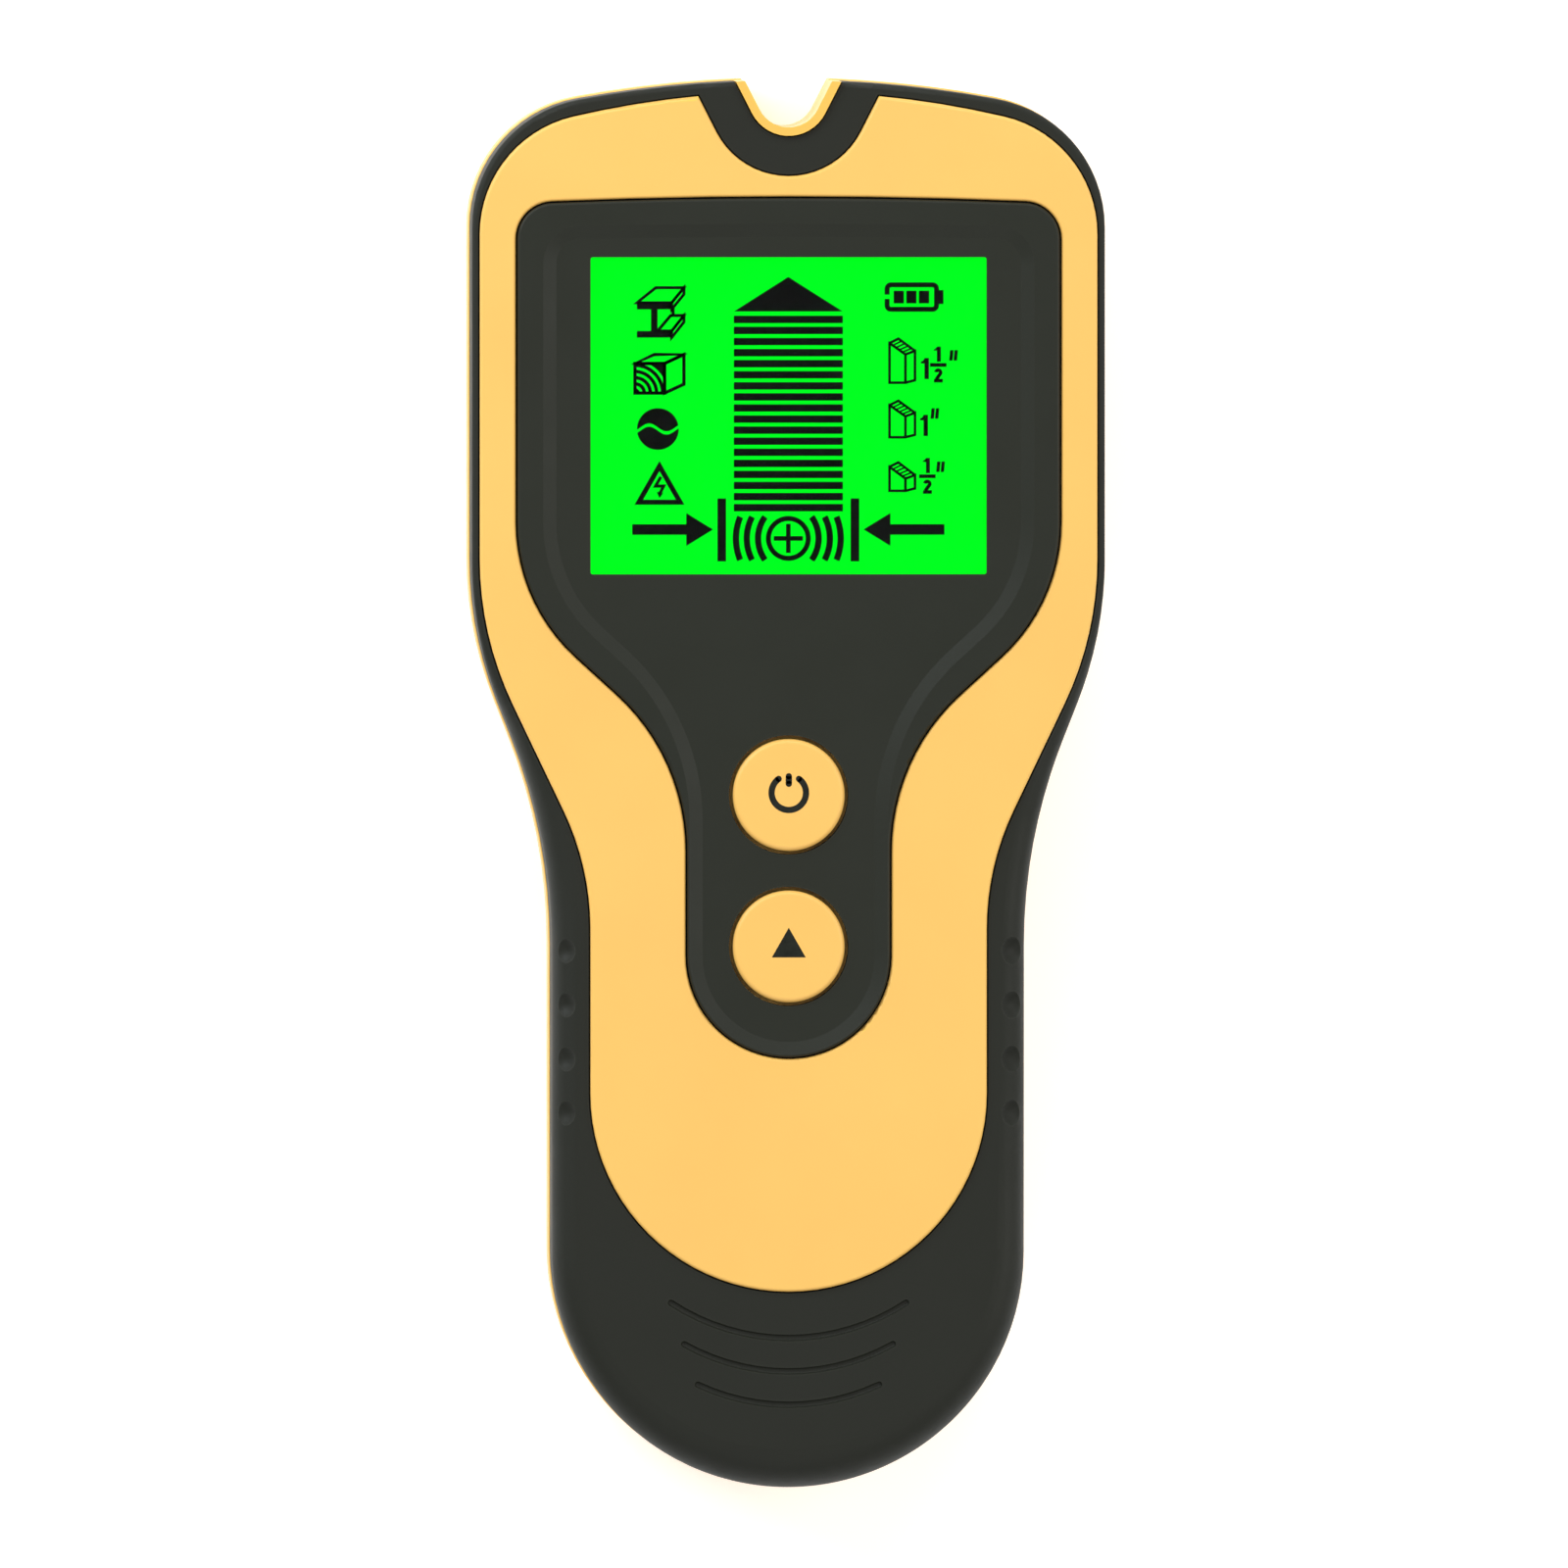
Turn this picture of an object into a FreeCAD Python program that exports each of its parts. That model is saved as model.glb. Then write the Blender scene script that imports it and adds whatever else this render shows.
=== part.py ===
"""Hand-held stud finder: a paddle-shaped scanner with a display, two press buttons and a battery door.

The scanner lies on its back. +Z points out of its front face, +Y to the head with the marking notch
and +X to the right. The origin is under the middle of the outline, on the plane that the glide pads
rest on. Every size is in millimetres.
"""
import FreeCAD, Part
import math
import os
import Sketcher

V = FreeCAD.Vector

SIZES = [
    # overall outline
    ("length", 150.0),
    ("head_half", 33.8),
    ("handle_half", 25.25),
    ("thickness", 27.0),
    ("corner_radius", 14.0),
    ("corner_drop", 15.8),
    ("shoulder_drop", 51.2),
    ("shoulder_radius", 41.7),
    ("neck_radius", 59.4),
    ("shoulder_angle", 21.5),
    # shells
    ("wall", 2.0),
    ("floor_thick", 1.6),
    ("roof_thick", 2.0),
    ("parting_height", 11.0),
    ("pad_stand", 0.4),
    ("shell_step", 0.15),
    ("back_round", 1.2),
    ("seam_round", 0.3),
    ("boss_side", 6.2),
    ("handle_boss_side", 5.75),
    ("head_round", 0.55),
    ("handle_round", 3.0),
    ("tail_round", 4.2),
    ("face_drop", 1.0),
    ("boss_radius", 2.9),
    ("pilot_slack", 0.02),
    ("pilot_spare", 0.3),
    ("boss_bury", 0.5),
    ("cut_past", 1.0),
    # yellow face panel
    ("inlay_depth", 1.0),
    ("inlay_gap", 0.18),
    ("panel_rise", 0.5),
    ("panel_border", 0.8),
    ("handle_border", 4.0),
    ("panel_top_drop", 1.2),
    ("panel_tail_rise", 20.9),
    ("panel_corner", 13.0),
    ("panel_corner_drop", 15.3),
    ("panel_shoulder_drop", 51.0),
    ("panel_shoulder_radius", 36.0),
    ("panel_neck_radius", 29.0),
    ("panel_angle", 25.5),
    ("panel_round", 0.35),
    # dark display fascia
    ("island_rise", 0.8),
    ("island_step", 0.4),
    ("island_border", 4.8),
    ("island_top_drop", 12.5),
    ("island_corner", 4.0),
    ("island_corner_drop", 4.5),
    ("island_shoulder_drop", 47.1),
    ("island_shoulder_radius", 19.5),
    ("island_neck_radius", 22.5),
    ("island_angle", 47.6),
    ("island_round", 0.3),
    ("button_margin", 5.0),
    ("island_tail_extra", 1.0),
    ("tray_inset", 4.3),
    ("tray_neck_inset", 1.8),
    ("tray_corner", 2.6),
    ("tray_corner_drop", 2.8),
    ("tray_slope", 1.4),
    # display
    ("window_width", 42.1),
    ("window_height", 33.7),
    ("window_drop", 35.8),
    ("window_corner", 0.25),
    ("lens_gap", 0.1),
    ("lens_flange", 1.5),
    ("lens_flange_thick", 0.6),
    ("lens_rise", 0.1),
    ("glass_margin", 1.4),
    ("glass_thick", 1.5),
    ("glass_gap", 0.1),
    ("glass_room", 0.3),
    ("frame_wall", 1.2),
    ("backlight_thick", 1.7),
    ("strip_width", 2.0),
    ("strip_inset", 1.0),
    # boards
    ("board_room", 2.4),
    ("board_thick", 1.2),
    ("board_half", 24.0),
    ("board_top_drop", 9.5),
    ("board_step_drop", 58.0),
    ("board_neck_half", 11.0),
    ("board_tail", 6.0),
    ("board_boss_radius", 2.0),
    ("sensor_board_half", 23.5),
    ("sensor_top_drop", 9.0),
    ("sensor_tail_drop", 59.0),
    ("sensor_stand", 1.2),
    ("plate_thick", 0.2),
    ("plate_width", 12.0),
    ("plate_pitch", 15.0),
    ("plate_length", 38.0),
    ("coil_outer", 17.0),
    ("coil_inner", 12.0),
    ("coil_height", 3.0),
    ("coil_drop", 34.0),
    ("pin_side", 0.64),
    ("pin_pitch", 2.54),
    ("pin_drop", 12.0),
    ("header_height", 2.5),
    ("header_depth", 2.5),
    ("chip_side", 10.0),
    ("chip_height", 1.4),
    ("chip_round", 0.4),
    ("chip_left", 6.0),
    ("chip_rise", 6.0),
    ("buzzer_radius", 6.0),
    ("buzzer_height", 5.5),
    ("buzzer_port", 1.0),
    ("buzzer_port_depth", 2.0),
    ("buzzer_side", 13.0),
    ("buzzer_rise", 11.0),
    ("capacitor_radius", 2.5),
    ("capacitor_height", 7.0),
    ("capacitor_pitch", 7.0),
    ("capacitor_side", 16.0),
    ("capacitor_drop", 10.0),
    # buttons and their switches
    ("button_radius", 5.95),
    ("button_gap", 0.4),
    ("button_drop", 76.1),
    ("button_spacing", 2.0),
    ("button_round", 0.5),
    ("flange_width", 1.1),
    ("flange_thick", 1.0),
    ("flange_gap", 0.1),
    ("skirt_wall", 0.95),
    ("travel", 0.35),
    ("switch_side", 6.2),
    ("switch_height", 1.8),
    ("switch_round", 0.5),
    ("plunger_radius", 1.6),
    ("plunger_depth", 0.7),
    ("plunger_gap", 0.1),
    # standard 9 V block battery, its snap connector and leads
    ("battery_width", 26.5),
    ("battery_depth", 17.5),
    ("battery_length", 46.4),
    ("battery_corner", 2.2),
    ("battery_gap", 0.6),
    ("battery_lift", 0.5),
    ("battery_tail", 7.5),
    ("terminal_spacing", 12.7),
    ("terminal_height", 2.1),
    ("stud_radius", 2.9),
    ("crown_radius", 4.2),
    ("snap_gap", 0.1),
    ("connector_thick", 3.0),
    ("connector_side_gap", 0.6),
    ("connector_round", 0.8),
    ("lead_radius", 0.75),
    ("lead_spacing", 8.0),
    ("lead_bend", 5.0),
    ("lead_reach", 13.0),
    ("cradle_wall", 1.2),
    ("cradle_height", 16.0),
    ("cradle_tail", 9.0),
    ("ledge_thick", 1.2),
    ("ledge_width", 2.75),
    ("foam_half", 9.0),
    ("foam_half_height", 5.8),
    ("foam_thick", 1.7),
    # battery door
    ("door_thick", 1.6),
    ("door_sink", 0.1),
    ("door_side", 0.35),
    ("door_gap", 0.3),
    ("tongue_width", 1.0),
    ("tongue_thick", 0.8),
    ("tongue_gap", 0.1),
    ("tongue_side_gap", 0.2),
    ("door_round", 1.0),
    ("ridge_half", 7.0),
    ("ridge_width", 0.8),
    ("ridge_depth", 0.5),
    ("ridge_pitch", 2.0),
    ("ridge_rise", 10.0),
    # marking notch
    ("notch_radius", 4.5),
    ("notch_drop", 1.7),
    ("notch_flare", 27.0),
    ("notch_ring", 3.95),
    ("lining_gap", 0.15),
    ("lining_wall", 0.9),
    # grip details of the front shell
    ("groove_radius", 22.7),
    ("groove_tube", 0.35),
    ("groove_rise", 16.15),
    ("groove_pitch", 3.55),
    ("groove_span", 66.8),
    ("groove_narrowing", 8.3),
    ("dimple_ball", 1.9),
    ("dimple_depth", 0.5),
    ("dimple_inset", 1.45),
    ("dimple_drop", 92.7),
    ("dimple_pitch", 5.75),
    # screws
    ("head_screw_drop", 12.5),
    ("waist_screw_drop", 55.0),
    ("tail_screw_rise", 45.0),
    ("case_screw_radius", 1.2),
    ("case_screw_head", 2.3),
    ("case_screw_head_thick", 1.5),
    ("case_screw_bite", 7.0),
    ("case_seat", 6.0),
    ("counterbore_gap", 0.3),
    ("counterbore_wall", 0.9),
    ("board_screw_radius", 0.75),
    ("board_screw_head", 1.6),
    ("board_screw_head_thick", 1.0),
    ("board_screw_bite", 1.4),
    ("board_screw_inset", 6.0),
    ("board_screw_drop", 12.7),
    ("neck_screw_inset", 3.0),
    ("neck_screw_rise", 11.6),
    ("sensor_screw_inset", 3.0),
    ("sensor_screw_end", 2.5),
    ("hole_gap", 0.15),
    ("cross_width", 0.6),
    ("cross_share", 0.6),
    # glide pads under the back
    ("glide_width", 6.0),
    ("glide_length", 24.0),
    ("glide_sink", 0.4),
    ("glide_side", 10.0),
    ("glide_head_drop", 34.0),
    ("glide_tail_rise", 62.0),
    ("glide_gap", 0.1),
    ("glide_round", 1.2),
    ("glide_door_gap", 3.0),
    ("tail_glide_width", 3.0),
    ("tail_glide_length", 14.0),
]
GROOVES = 3
DIMPLES = 4
DOOR_RIDGES = 4
HEADER_PINS = 6
CAPACITORS = 3
TINY = 1e-4    # lengths under this count as nothing

BACK = "Dims.pad_stand"
FLOOR = f"({BACK} + Dims.floor_thick)"
PARTING = "Dims.parting_height"
FACE = "(Dims.thickness - Dims.face_drop)"
ROOF = f"({FACE} - Dims.roof_thick)"
SEAT = f"({FACE} - Dims.inlay_depth)"
PANEL_TOP = f"({FACE} + Dims.panel_rise)"
ISLAND_TOP = f"({FACE} + Dims.island_rise)"
TRAY = f"({ISLAND_TOP} - Dims.island_step)"
BOARD_TOP = f"({ROOF} - Dims.board_room)"
BOARD_LOW = f"({BOARD_TOP} - Dims.board_thick)"
SENSOR_LOW = f"({FLOOR} + Dims.sensor_stand)"
SENSOR_TOP = f"({SENSOR_LOW} + Dims.board_thick)"
HEAD_Y = "(Dims.length / 2)"
TAIL_Y = "(-Dims.length / 2)"
WINDOW_Y = f"({HEAD_Y} - Dims.window_drop)"
POWER_Y = f"({HEAD_Y} - Dims.button_drop)"
MODE_Y = f"({POWER_Y} - 2 * (Dims.button_radius + Dims.flange_width) - Dims.button_spacing)"
NOTCH_Y = f"({HEAD_Y} - Dims.notch_drop)"
BATTERY_TAIL = f"({TAIL_Y} + Dims.battery_tail)"
BATTERY_HEAD = f"({BATTERY_TAIL} + Dims.battery_length)"
BATTERY_LOW = f"({FLOOR} + Dims.battery_lift)"
BATTERY_MIDDLE = f"({BATTERY_LOW} + Dims.battery_depth / 2)"
CRADLE_HALF = "(Dims.battery_width / 2 + Dims.battery_gap)"
DOOR_HALF = f"({CRADLE_HALF} + Dims.door_side)"
DOOR_LOW = f"({BACK} + Dims.door_sink)"
DOOR_TOP = f"({DOOR_LOW} + Dims.door_thick)"
TONGUE_LOW = f"({DOOR_TOP} - Dims.tongue_thick)"
CONNECTOR_TAIL = f"({BATTERY_HEAD} + Dims.terminal_height)"
CONNECTOR_HEAD = f"({CONNECTOR_TAIL} + Dims.connector_thick)"

BODY_OUTLINE = {
    "half": "Dims.head_half",
    "handle": "Dims.handle_half",
    "top": HEAD_Y,
    "tail": TAIL_Y,
    "corner": "Dims.corner_radius",
    "corner_y": f"({HEAD_Y} - Dims.corner_drop)",
    "shoulder_y": f"({HEAD_Y} - Dims.shoulder_drop)",
    "shoulder": "Dims.shoulder_radius",
    "neck": "Dims.neck_radius",
    "angle": "Dims.shoulder_angle",
}
PANEL_OUTLINE = {
    "half": "(Dims.head_half - Dims.panel_border)",
    "handle": "(Dims.handle_half - Dims.handle_border)",
    "top": f"({HEAD_Y} - Dims.panel_top_drop)",
    "tail": f"({TAIL_Y} + Dims.panel_tail_rise)",
    "corner": "Dims.panel_corner",
    "corner_y": f"({HEAD_Y} - Dims.panel_top_drop - Dims.panel_corner_drop)",
    "shoulder_y": f"({HEAD_Y} - Dims.panel_shoulder_drop)",
    "shoulder": "Dims.panel_shoulder_radius",
    "neck": "Dims.panel_neck_radius",
    "angle": "Dims.panel_angle",
}
ISLAND_OUTLINE = {
    "half": "(Dims.head_half - Dims.island_border)",
    "handle": "(Dims.button_radius + Dims.button_margin)",
    "top": f"({HEAD_Y} - Dims.island_top_drop)",
    "tail": f"({MODE_Y} - Dims.button_radius - Dims.button_margin - Dims.island_tail_extra)",
    "corner": "Dims.island_corner",
    "corner_y": f"({HEAD_Y} - Dims.island_top_drop - Dims.island_corner_drop)",
    "shoulder_y": f"({HEAD_Y} - Dims.island_shoulder_drop)",
    "shoulder": "Dims.island_shoulder_radius",
    "neck": "Dims.island_neck_radius",
    "angle": "Dims.island_angle",
}
TRAY_OUTLINE = {
    "half": f"({ISLAND_OUTLINE['half']} - Dims.tray_inset)",
    "handle": f"({ISLAND_OUTLINE['handle']} - Dims.tray_neck_inset)",
    "top": f"({ISLAND_OUTLINE['top']} - Dims.tray_inset)",
    "tail": f"({ISLAND_OUTLINE['tail']} + Dims.tray_neck_inset)",
    "corner": "Dims.tray_corner",
    "corner_y": f"({ISLAND_OUTLINE['top']} - Dims.tray_inset - Dims.tray_corner_drop)",
    "shoulder_y": ISLAND_OUTLINE["shoulder_y"],
    "shoulder": "(Dims.island_shoulder_radius - Dims.tray_inset)",
    "neck": "(Dims.island_neck_radius + Dims.tray_neck_inset)",
    "angle": "Dims.island_angle",
}

doc = FreeCAD.newDocument("stud_finder")
sheet = doc.addObject("Spreadsheet::Sheet", "Dims")
for row, (alias, size) in enumerate(SIZES, 1):
    sheet.set(f"A{row}", alias)
    sheet.set(f"B{row}", str(size))
    sheet.setAlias(f"B{row}", alias)
doc.recompute()

pieces = []


def value(expression):
    """The number that an expression over the sheet gives."""
    return float(sheet.evalExpression(expression))


def piece(label, shape_object):
    """Name a finished sub-part and keep it for the export."""
    shape_object.Label = label
    pieces.append(shape_object)
    return shape_object


# ---------------------------------------------------------------- sketches


def plane(body, role):
    """One of a body's own origin planes."""
    return next(item for item in body.Origin.OriginFeatures if item.Role == role)


def new_sketch(body, name, height, role="XY_Plane"):
    """A sketch on one of the body's origin planes, lifted off it by an expression."""
    sketch = body.newObject("Sketcher::SketchObject", name)
    sketch.AttachmentSupport = [(plane(body, role), "")]
    sketch.MapMode = "FlatFace"
    sketch.setExpression("AttachmentOffset.Base.z", height)
    return sketch


def bind(sketch, constraint, expression):
    """Add a dimension and bind it to an expression."""
    index = sketch.addConstraint(constraint)
    name = f"size_{index}"
    sketch.renameConstraint(index, name)
    sketch.setExpression(f"Constraints.{name}", expression)


def pin(sketch, axis, geometry, point, expression):
    """Hold one coordinate of a sketch point at an expression, whichever side of the axis it is on."""
    place = value(expression)
    kind = f"Distance{axis}"
    if abs(place) < TINY:
        on_axis = -2 if axis == "X" else -1
        sketch.addConstraint(Sketcher.Constraint("PointOnObject", geometry, point, on_axis))
    elif place > 0:
        bind(sketch, Sketcher.Constraint(kind, -1, 1, geometry, point, place), expression)
    else:
        bind(sketch, Sketcher.Constraint(kind, geometry, point, -1, 1, -place), f"-({expression})")


def add_arc(sketch, centre, radius, first, last):
    """Add the shorter arc between two points; give it with the ends that lie at first and last."""
    start = math.atan2(first.y - centre.y, first.x - centre.x)
    sweep = math.atan2(last.y - centre.y, last.x - centre.x) - start
    sweep = (sweep + math.pi) % (2 * math.pi) - math.pi
    circle = Part.Circle(centre, V(0, 0, 1), radius)
    if sweep > 0:
        return sketch.addGeometry(Part.ArcOfCircle(circle, start, start + sweep)), 1, 2
    return sketch.addGeometry(Part.ArcOfCircle(circle, start + sweep, start)), 2, 1


def add_line(sketch, first, last):
    return sketch.addGeometry(Part.LineSegment(first, last)), 1, 2


def polygon(points):
    """A drawing function for a closed outline through points given as pairs of expressions."""
    def draw(sketch):
        places = [V(value(x), value(y), 0) for x, y in points]
        count = len(points)
        for index in range(count):
            add_line(sketch, places[index], places[(index + 1) % count])
        for index, (x, y) in enumerate(points):
            before = (index - 1) % count
            sketch.addConstraint(Sketcher.Constraint("Coincident", before, 2, index, 1))
            pin(sketch, "X", index, 1, x)
            pin(sketch, "Y", index, 1, y)
    return draw


def rectangle(left, right, low, high):
    return polygon([(left, low), (right, low), (right, high), (left, high)])


def centred(half_x, middle_y, half_y):
    """A rectangle about the centre line."""
    low = f"({middle_y}) - ({half_y})"
    high = f"({middle_y}) + ({half_y})"
    return rectangle(f"-({half_x})", half_x, low, high)


def paddle(outline, inset="0"):
    """A drawing function for a paddle: crowned top, sloped shoulders, straight handle, round tail."""
    half = f"({outline['half']} - ({inset}))"
    handle = f"({outline['handle']} - ({inset}))"
    top = f"({outline['top']} - ({inset}))"
    tail = f"({outline['tail']} + ({inset}))"
    corner = f"({outline['corner']} - ({inset}))"
    shoulder = f"({outline['shoulder']} - ({inset}))"
    neck = f"({outline['neck']} + ({inset}))"

    def half_outline():
        """Points and arc centres of the right half, from the top of the crown to the tail's end."""
        names = (half, handle, top, tail, corner, shoulder, neck)
        wide, narrow, crown, end, turn, out, into = (value(name) for name in names)
        corner_y = value(outline["corner_y"])
        shoulder_y = value(outline["shoulder_y"])
        slope = math.radians(value(outline["angle"]))
        corner_at = V(wide - turn, corner_y, 0)
        drop = crown - corner_y
        crown_radius = (corner_at.x ** 2 + drop ** 2 - turn ** 2) / (2 * (drop - turn))
        crown_at = V(0, crown - crown_radius, 0)
        crown_end = crown_at + (corner_at - crown_at).normalize() * crown_radius
        out_at = V(wide - out, shoulder_y, 0)
        out_end = out_at + V(math.cos(slope), -math.sin(slope), 0) * out
        run = (wide - narrow - (out + into) * (1 - math.cos(slope))) / math.sin(slope)
        into_start = out_end + V(-math.sin(slope), -math.cos(slope), 0) * run
        into_at = into_start + V(math.cos(slope), -math.sin(slope), 0) * into
        tail_at = V(0, end + narrow, 0)
        points = [V(0, crown, 0), crown_end, V(wide, corner_y, 0), V(wide, shoulder_y, 0), out_end,
                  into_start, V(narrow, into_at.y, 0), V(narrow, tail_at.y, 0), V(0, end, 0)]
        arcs = [(crown_at, crown_radius), (corner_at, turn), None, (out_at, out), None,
                (into_at, into), None, (tail_at, narrow)]
        return points, arcs

    def draw(sketch):
        points, arcs = half_outline()
        ends = {}
        for side in (1, -1):
            chain = []
            for index, arc in enumerate(arcs):
                first, last = (V(side * point.x, point.y, 0) for point in points[index:index + 2])
                if arc is None:
                    chain.append(add_line(sketch, first, last))
                else:
                    centre = V(side * arc[0].x, arc[0].y, 0)
                    chain.append(add_arc(sketch, centre, arc[1], first, last))
            for (one, _, one_end), (two, two_start, _) in zip(chain, chain[1:]):
                sketch.addConstraint(Sketcher.Constraint("Tangent", one, one_end, two, two_start))
            crown, turn, edge, out, slope, into, grip, end = (item[0] for item in chain)
            ends[side] = (crown, chain[0][1], end, chain[-1][2])
            for arc in (crown, end):
                sketch.addConstraint(Sketcher.Constraint("PointOnObject", arc, 3, -2))
            for line in (edge, grip):
                sketch.addConstraint(Sketcher.Constraint("Vertical", line))
            pin(sketch, "X", edge, 1, f"{side} * {half}")
            pin(sketch, "X", grip, 1, f"{side} * {handle}")
            pin(sketch, "Y", turn, 3, outline["corner_y"])
            pin(sketch, "Y", edge, 2, outline["shoulder_y"])
            slope_start = f"({outline['shoulder_y']} - {shoulder} * sin({outline['angle']} * 1deg))"
            pin(sketch, "Y", slope, 1, slope_start)
            bind(sketch, Sketcher.Constraint("Radius", turn, value(corner)), corner)
            bind(sketch, Sketcher.Constraint("Radius", out, value(shoulder)), shoulder)
            bind(sketch, Sketcher.Constraint("Radius", into, value(neck)), neck)
        crown, crown_point, end, end_point = ends[1]
        sketch.addConstraint(Sketcher.Constraint("PointOnObject", crown, crown_point, -2))
        sketch.addConstraint(Sketcher.Constraint("PointOnObject", end, end_point, -2))
        pin(sketch, "Y", crown, crown_point, top)
        pin(sketch, "Y", end, end_point, tail)
        for here, there in ((0, 1), (2, 3)):
            sketch.addConstraint(Sketcher.Constraint(
                "Coincident", ends[-1][here], ends[-1][there], ends[1][here], ends[1][there]))
    return draw


def notch(radius):
    """A drawing function for the marking notch: a round bottom between two flared sides."""
    above = f"({HEAD_Y} + Dims.cut_past)"

    def draw(sketch):
        size = value(radius)
        lean = math.radians(value("Dims.notch_flare"))
        centre = V(0, value(NOTCH_Y), 0)
        high = value(above)
        turn = V(size * math.cos(lean), centre.y - size * math.sin(lean), 0)
        lip = V(turn.x + (high - turn.y) * math.tan(lean), high, 0)
        circle = Part.Circle(centre, V(0, 0, 1), size)
        start = math.pi + lean
        arc = sketch.addGeometry(Part.ArcOfCircle(circle, start, 2 * math.pi - lean))
        right, _, _ = add_line(sketch, turn, lip)
        over, _, _ = add_line(sketch, lip, V(-lip.x, high, 0))
        left, _, _ = add_line(sketch, V(-lip.x, high, 0), V(-turn.x, turn.y, 0))
        sketch.addConstraint(Sketcher.Constraint("Tangent", arc, 2, right, 1))
        sketch.addConstraint(Sketcher.Constraint("Coincident", right, 2, over, 1))
        sketch.addConstraint(Sketcher.Constraint("Coincident", over, 2, left, 1))
        sketch.addConstraint(Sketcher.Constraint("Tangent", left, 2, arc, 1))
        pin(sketch, "X", arc, 3, "0")
        pin(sketch, "Y", arc, 3, NOTCH_Y)
        bind(sketch, Sketcher.Constraint("Radius", arc, size), radius)
        rise = f"({above} - {NOTCH_Y} + {radius} * sin(Dims.notch_flare * 1deg))"
        lip_x = f"({radius} * cos(Dims.notch_flare * 1deg) + {rise} * tan(Dims.notch_flare * 1deg))"
        pin(sketch, "X", over, 1, lip_x)
        pin(sketch, "Y", over, 1, above)
        pin(sketch, "X", over, 2, f"-{lip_x}")
        pin(sketch, "Y", over, 2, above)
    return draw


# ---------------------------------------------------------------- solids


def block(name, draw, low, high):
    """A body with one pad of a drawn outline between two heights."""
    body = doc.addObject("PartDesign::Body", name)
    sketch = new_sketch(body, f"{name}_outline", low)
    draw(sketch)
    pad = body.newObject("PartDesign::Pad", f"{name}_pad")
    pad.Profile = sketch
    pad.setExpression("Length", f"({high}) - ({low})")
    doc.recompute()
    return body


def edges_where(shape, test):
    """Names of a shape's edges whose bounding box passes a test."""
    return [f"Edge{index}" for index, edge in enumerate(shape.Edges, 1) if test(edge.BoundBox)]


def upright(box):
    return box.XLength < TINY and box.YLength < TINY


def at_height(height):
    return lambda box: abs(box.ZMin - height) < TINY and abs(box.ZMax - height) < TINY


def rounded(body, radius, test):
    """Round the edges of a body that pass a test."""
    solid = body.Tip
    fillet = body.newObject("PartDesign::Fillet", f"{body.Name}_round")
    fillet.Base = (solid, edges_where(solid.Shape, test))
    fillet.setExpression("Radius", radius)
    doc.recompute()
    return body


def eased(name, base, radii):
    """Round edges of a finished boolean: edge number and the radius at each of its ends."""
    fillet = doc.addObject("Part::Fillet", name)
    fillet.Base = base
    fillet.Edges = radii
    doc.recompute()
    return fillet


def eased_at(name, base, height, radius):
    """Round every level edge that lies at a height."""
    size = value(radius)
    numbers = [int(edge[4:]) for edge in edges_where(base.Shape, at_height(value(height)))]
    return eased(name, base, [(number, size, size) for number in numbers])


def turned(name, profile, x="0", y="0"):
    """A body turned about an upright axis at x, y from radius and height pairs."""
    body = doc.addObject("PartDesign::Body", name)
    sketch = new_sketch(body, f"{name}_profile", f"-({y})", "XZ_Plane")
    sketch.setExpression("AttachmentOffset.Base.x", x)
    polygon(profile)(sketch)
    turn = body.newObject("PartDesign::Revolution", f"{name}_turn")
    turn.Profile = sketch
    turn.ReferenceAxis = (sketch, ["V_Axis"])
    turn.Angle = 360
    doc.recompute()
    return body


def cylinder(name, x, y, low, radius, high):
    item = doc.addObject("Part::Cylinder", name)
    item.setExpression("Radius", radius)
    item.setExpression("Height", f"({high}) - ({low})")
    for axis, place in zip("xyz", (x, y, low)):
        item.setExpression(f"Placement.Base.{axis}", place)
    return item


def lying_cylinder(name, x, low_y, z, radius, high_y):
    """A cylinder along Y."""
    item = doc.addObject("Part::Cylinder", name)
    item.Placement = FreeCAD.Placement(V(), FreeCAD.Rotation(V(1, 0, 0), -90))
    item.setExpression("Radius", radius)
    item.setExpression("Height", f"({high_y}) - ({low_y})")
    for axis, place in zip("xyz", (x, low_y, z)):
        item.setExpression(f"Placement.Base.{axis}", place)
    return item


def sphere(name, x, y, z, radius):
    item = doc.addObject("Part::Sphere", name)
    item.setExpression("Radius", radius)
    for axis, place in zip("xyz", (x, y, z)):
        item.setExpression(f"Placement.Base.{axis}", place)
    return item


def box(name, left, right, low_y, high_y, low, high):
    item = doc.addObject("Part::Box", name)
    spans = (("Length", "x", left, right), ("Width", "y", low_y, high_y), ("Height", "z", low, high))
    for size, axis, first, last in spans:
        item.setExpression(size, f"({last}) - ({first})")
        item.setExpression(f"Placement.Base.{axis}", first)
    return item


def fused(name, shapes):
    item = doc.addObject("Part::MultiFuse", name)
    item.Shapes = shapes
    item.Refine = True
    doc.recompute()
    return item


def cut(name, base, tools):
    item = doc.addObject("Part::Cut", name)
    item.Base = base
    item.Tool = tools[0] if len(tools) == 1 else fused(f"{name}_tools", tools)
    doc.recompute()
    return item


def common(name, shapes):
    item = doc.addObject("Part::MultiCommon", name)
    item.Shapes = shapes
    doc.recompute()
    return item


def group(name, shapes):
    """Separate solids that share one node."""
    item = doc.addObject("Part::Compound", name)
    item.Links = shapes
    doc.recompute()
    return item


# ---------------------------------------------------------------- shared places

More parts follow.
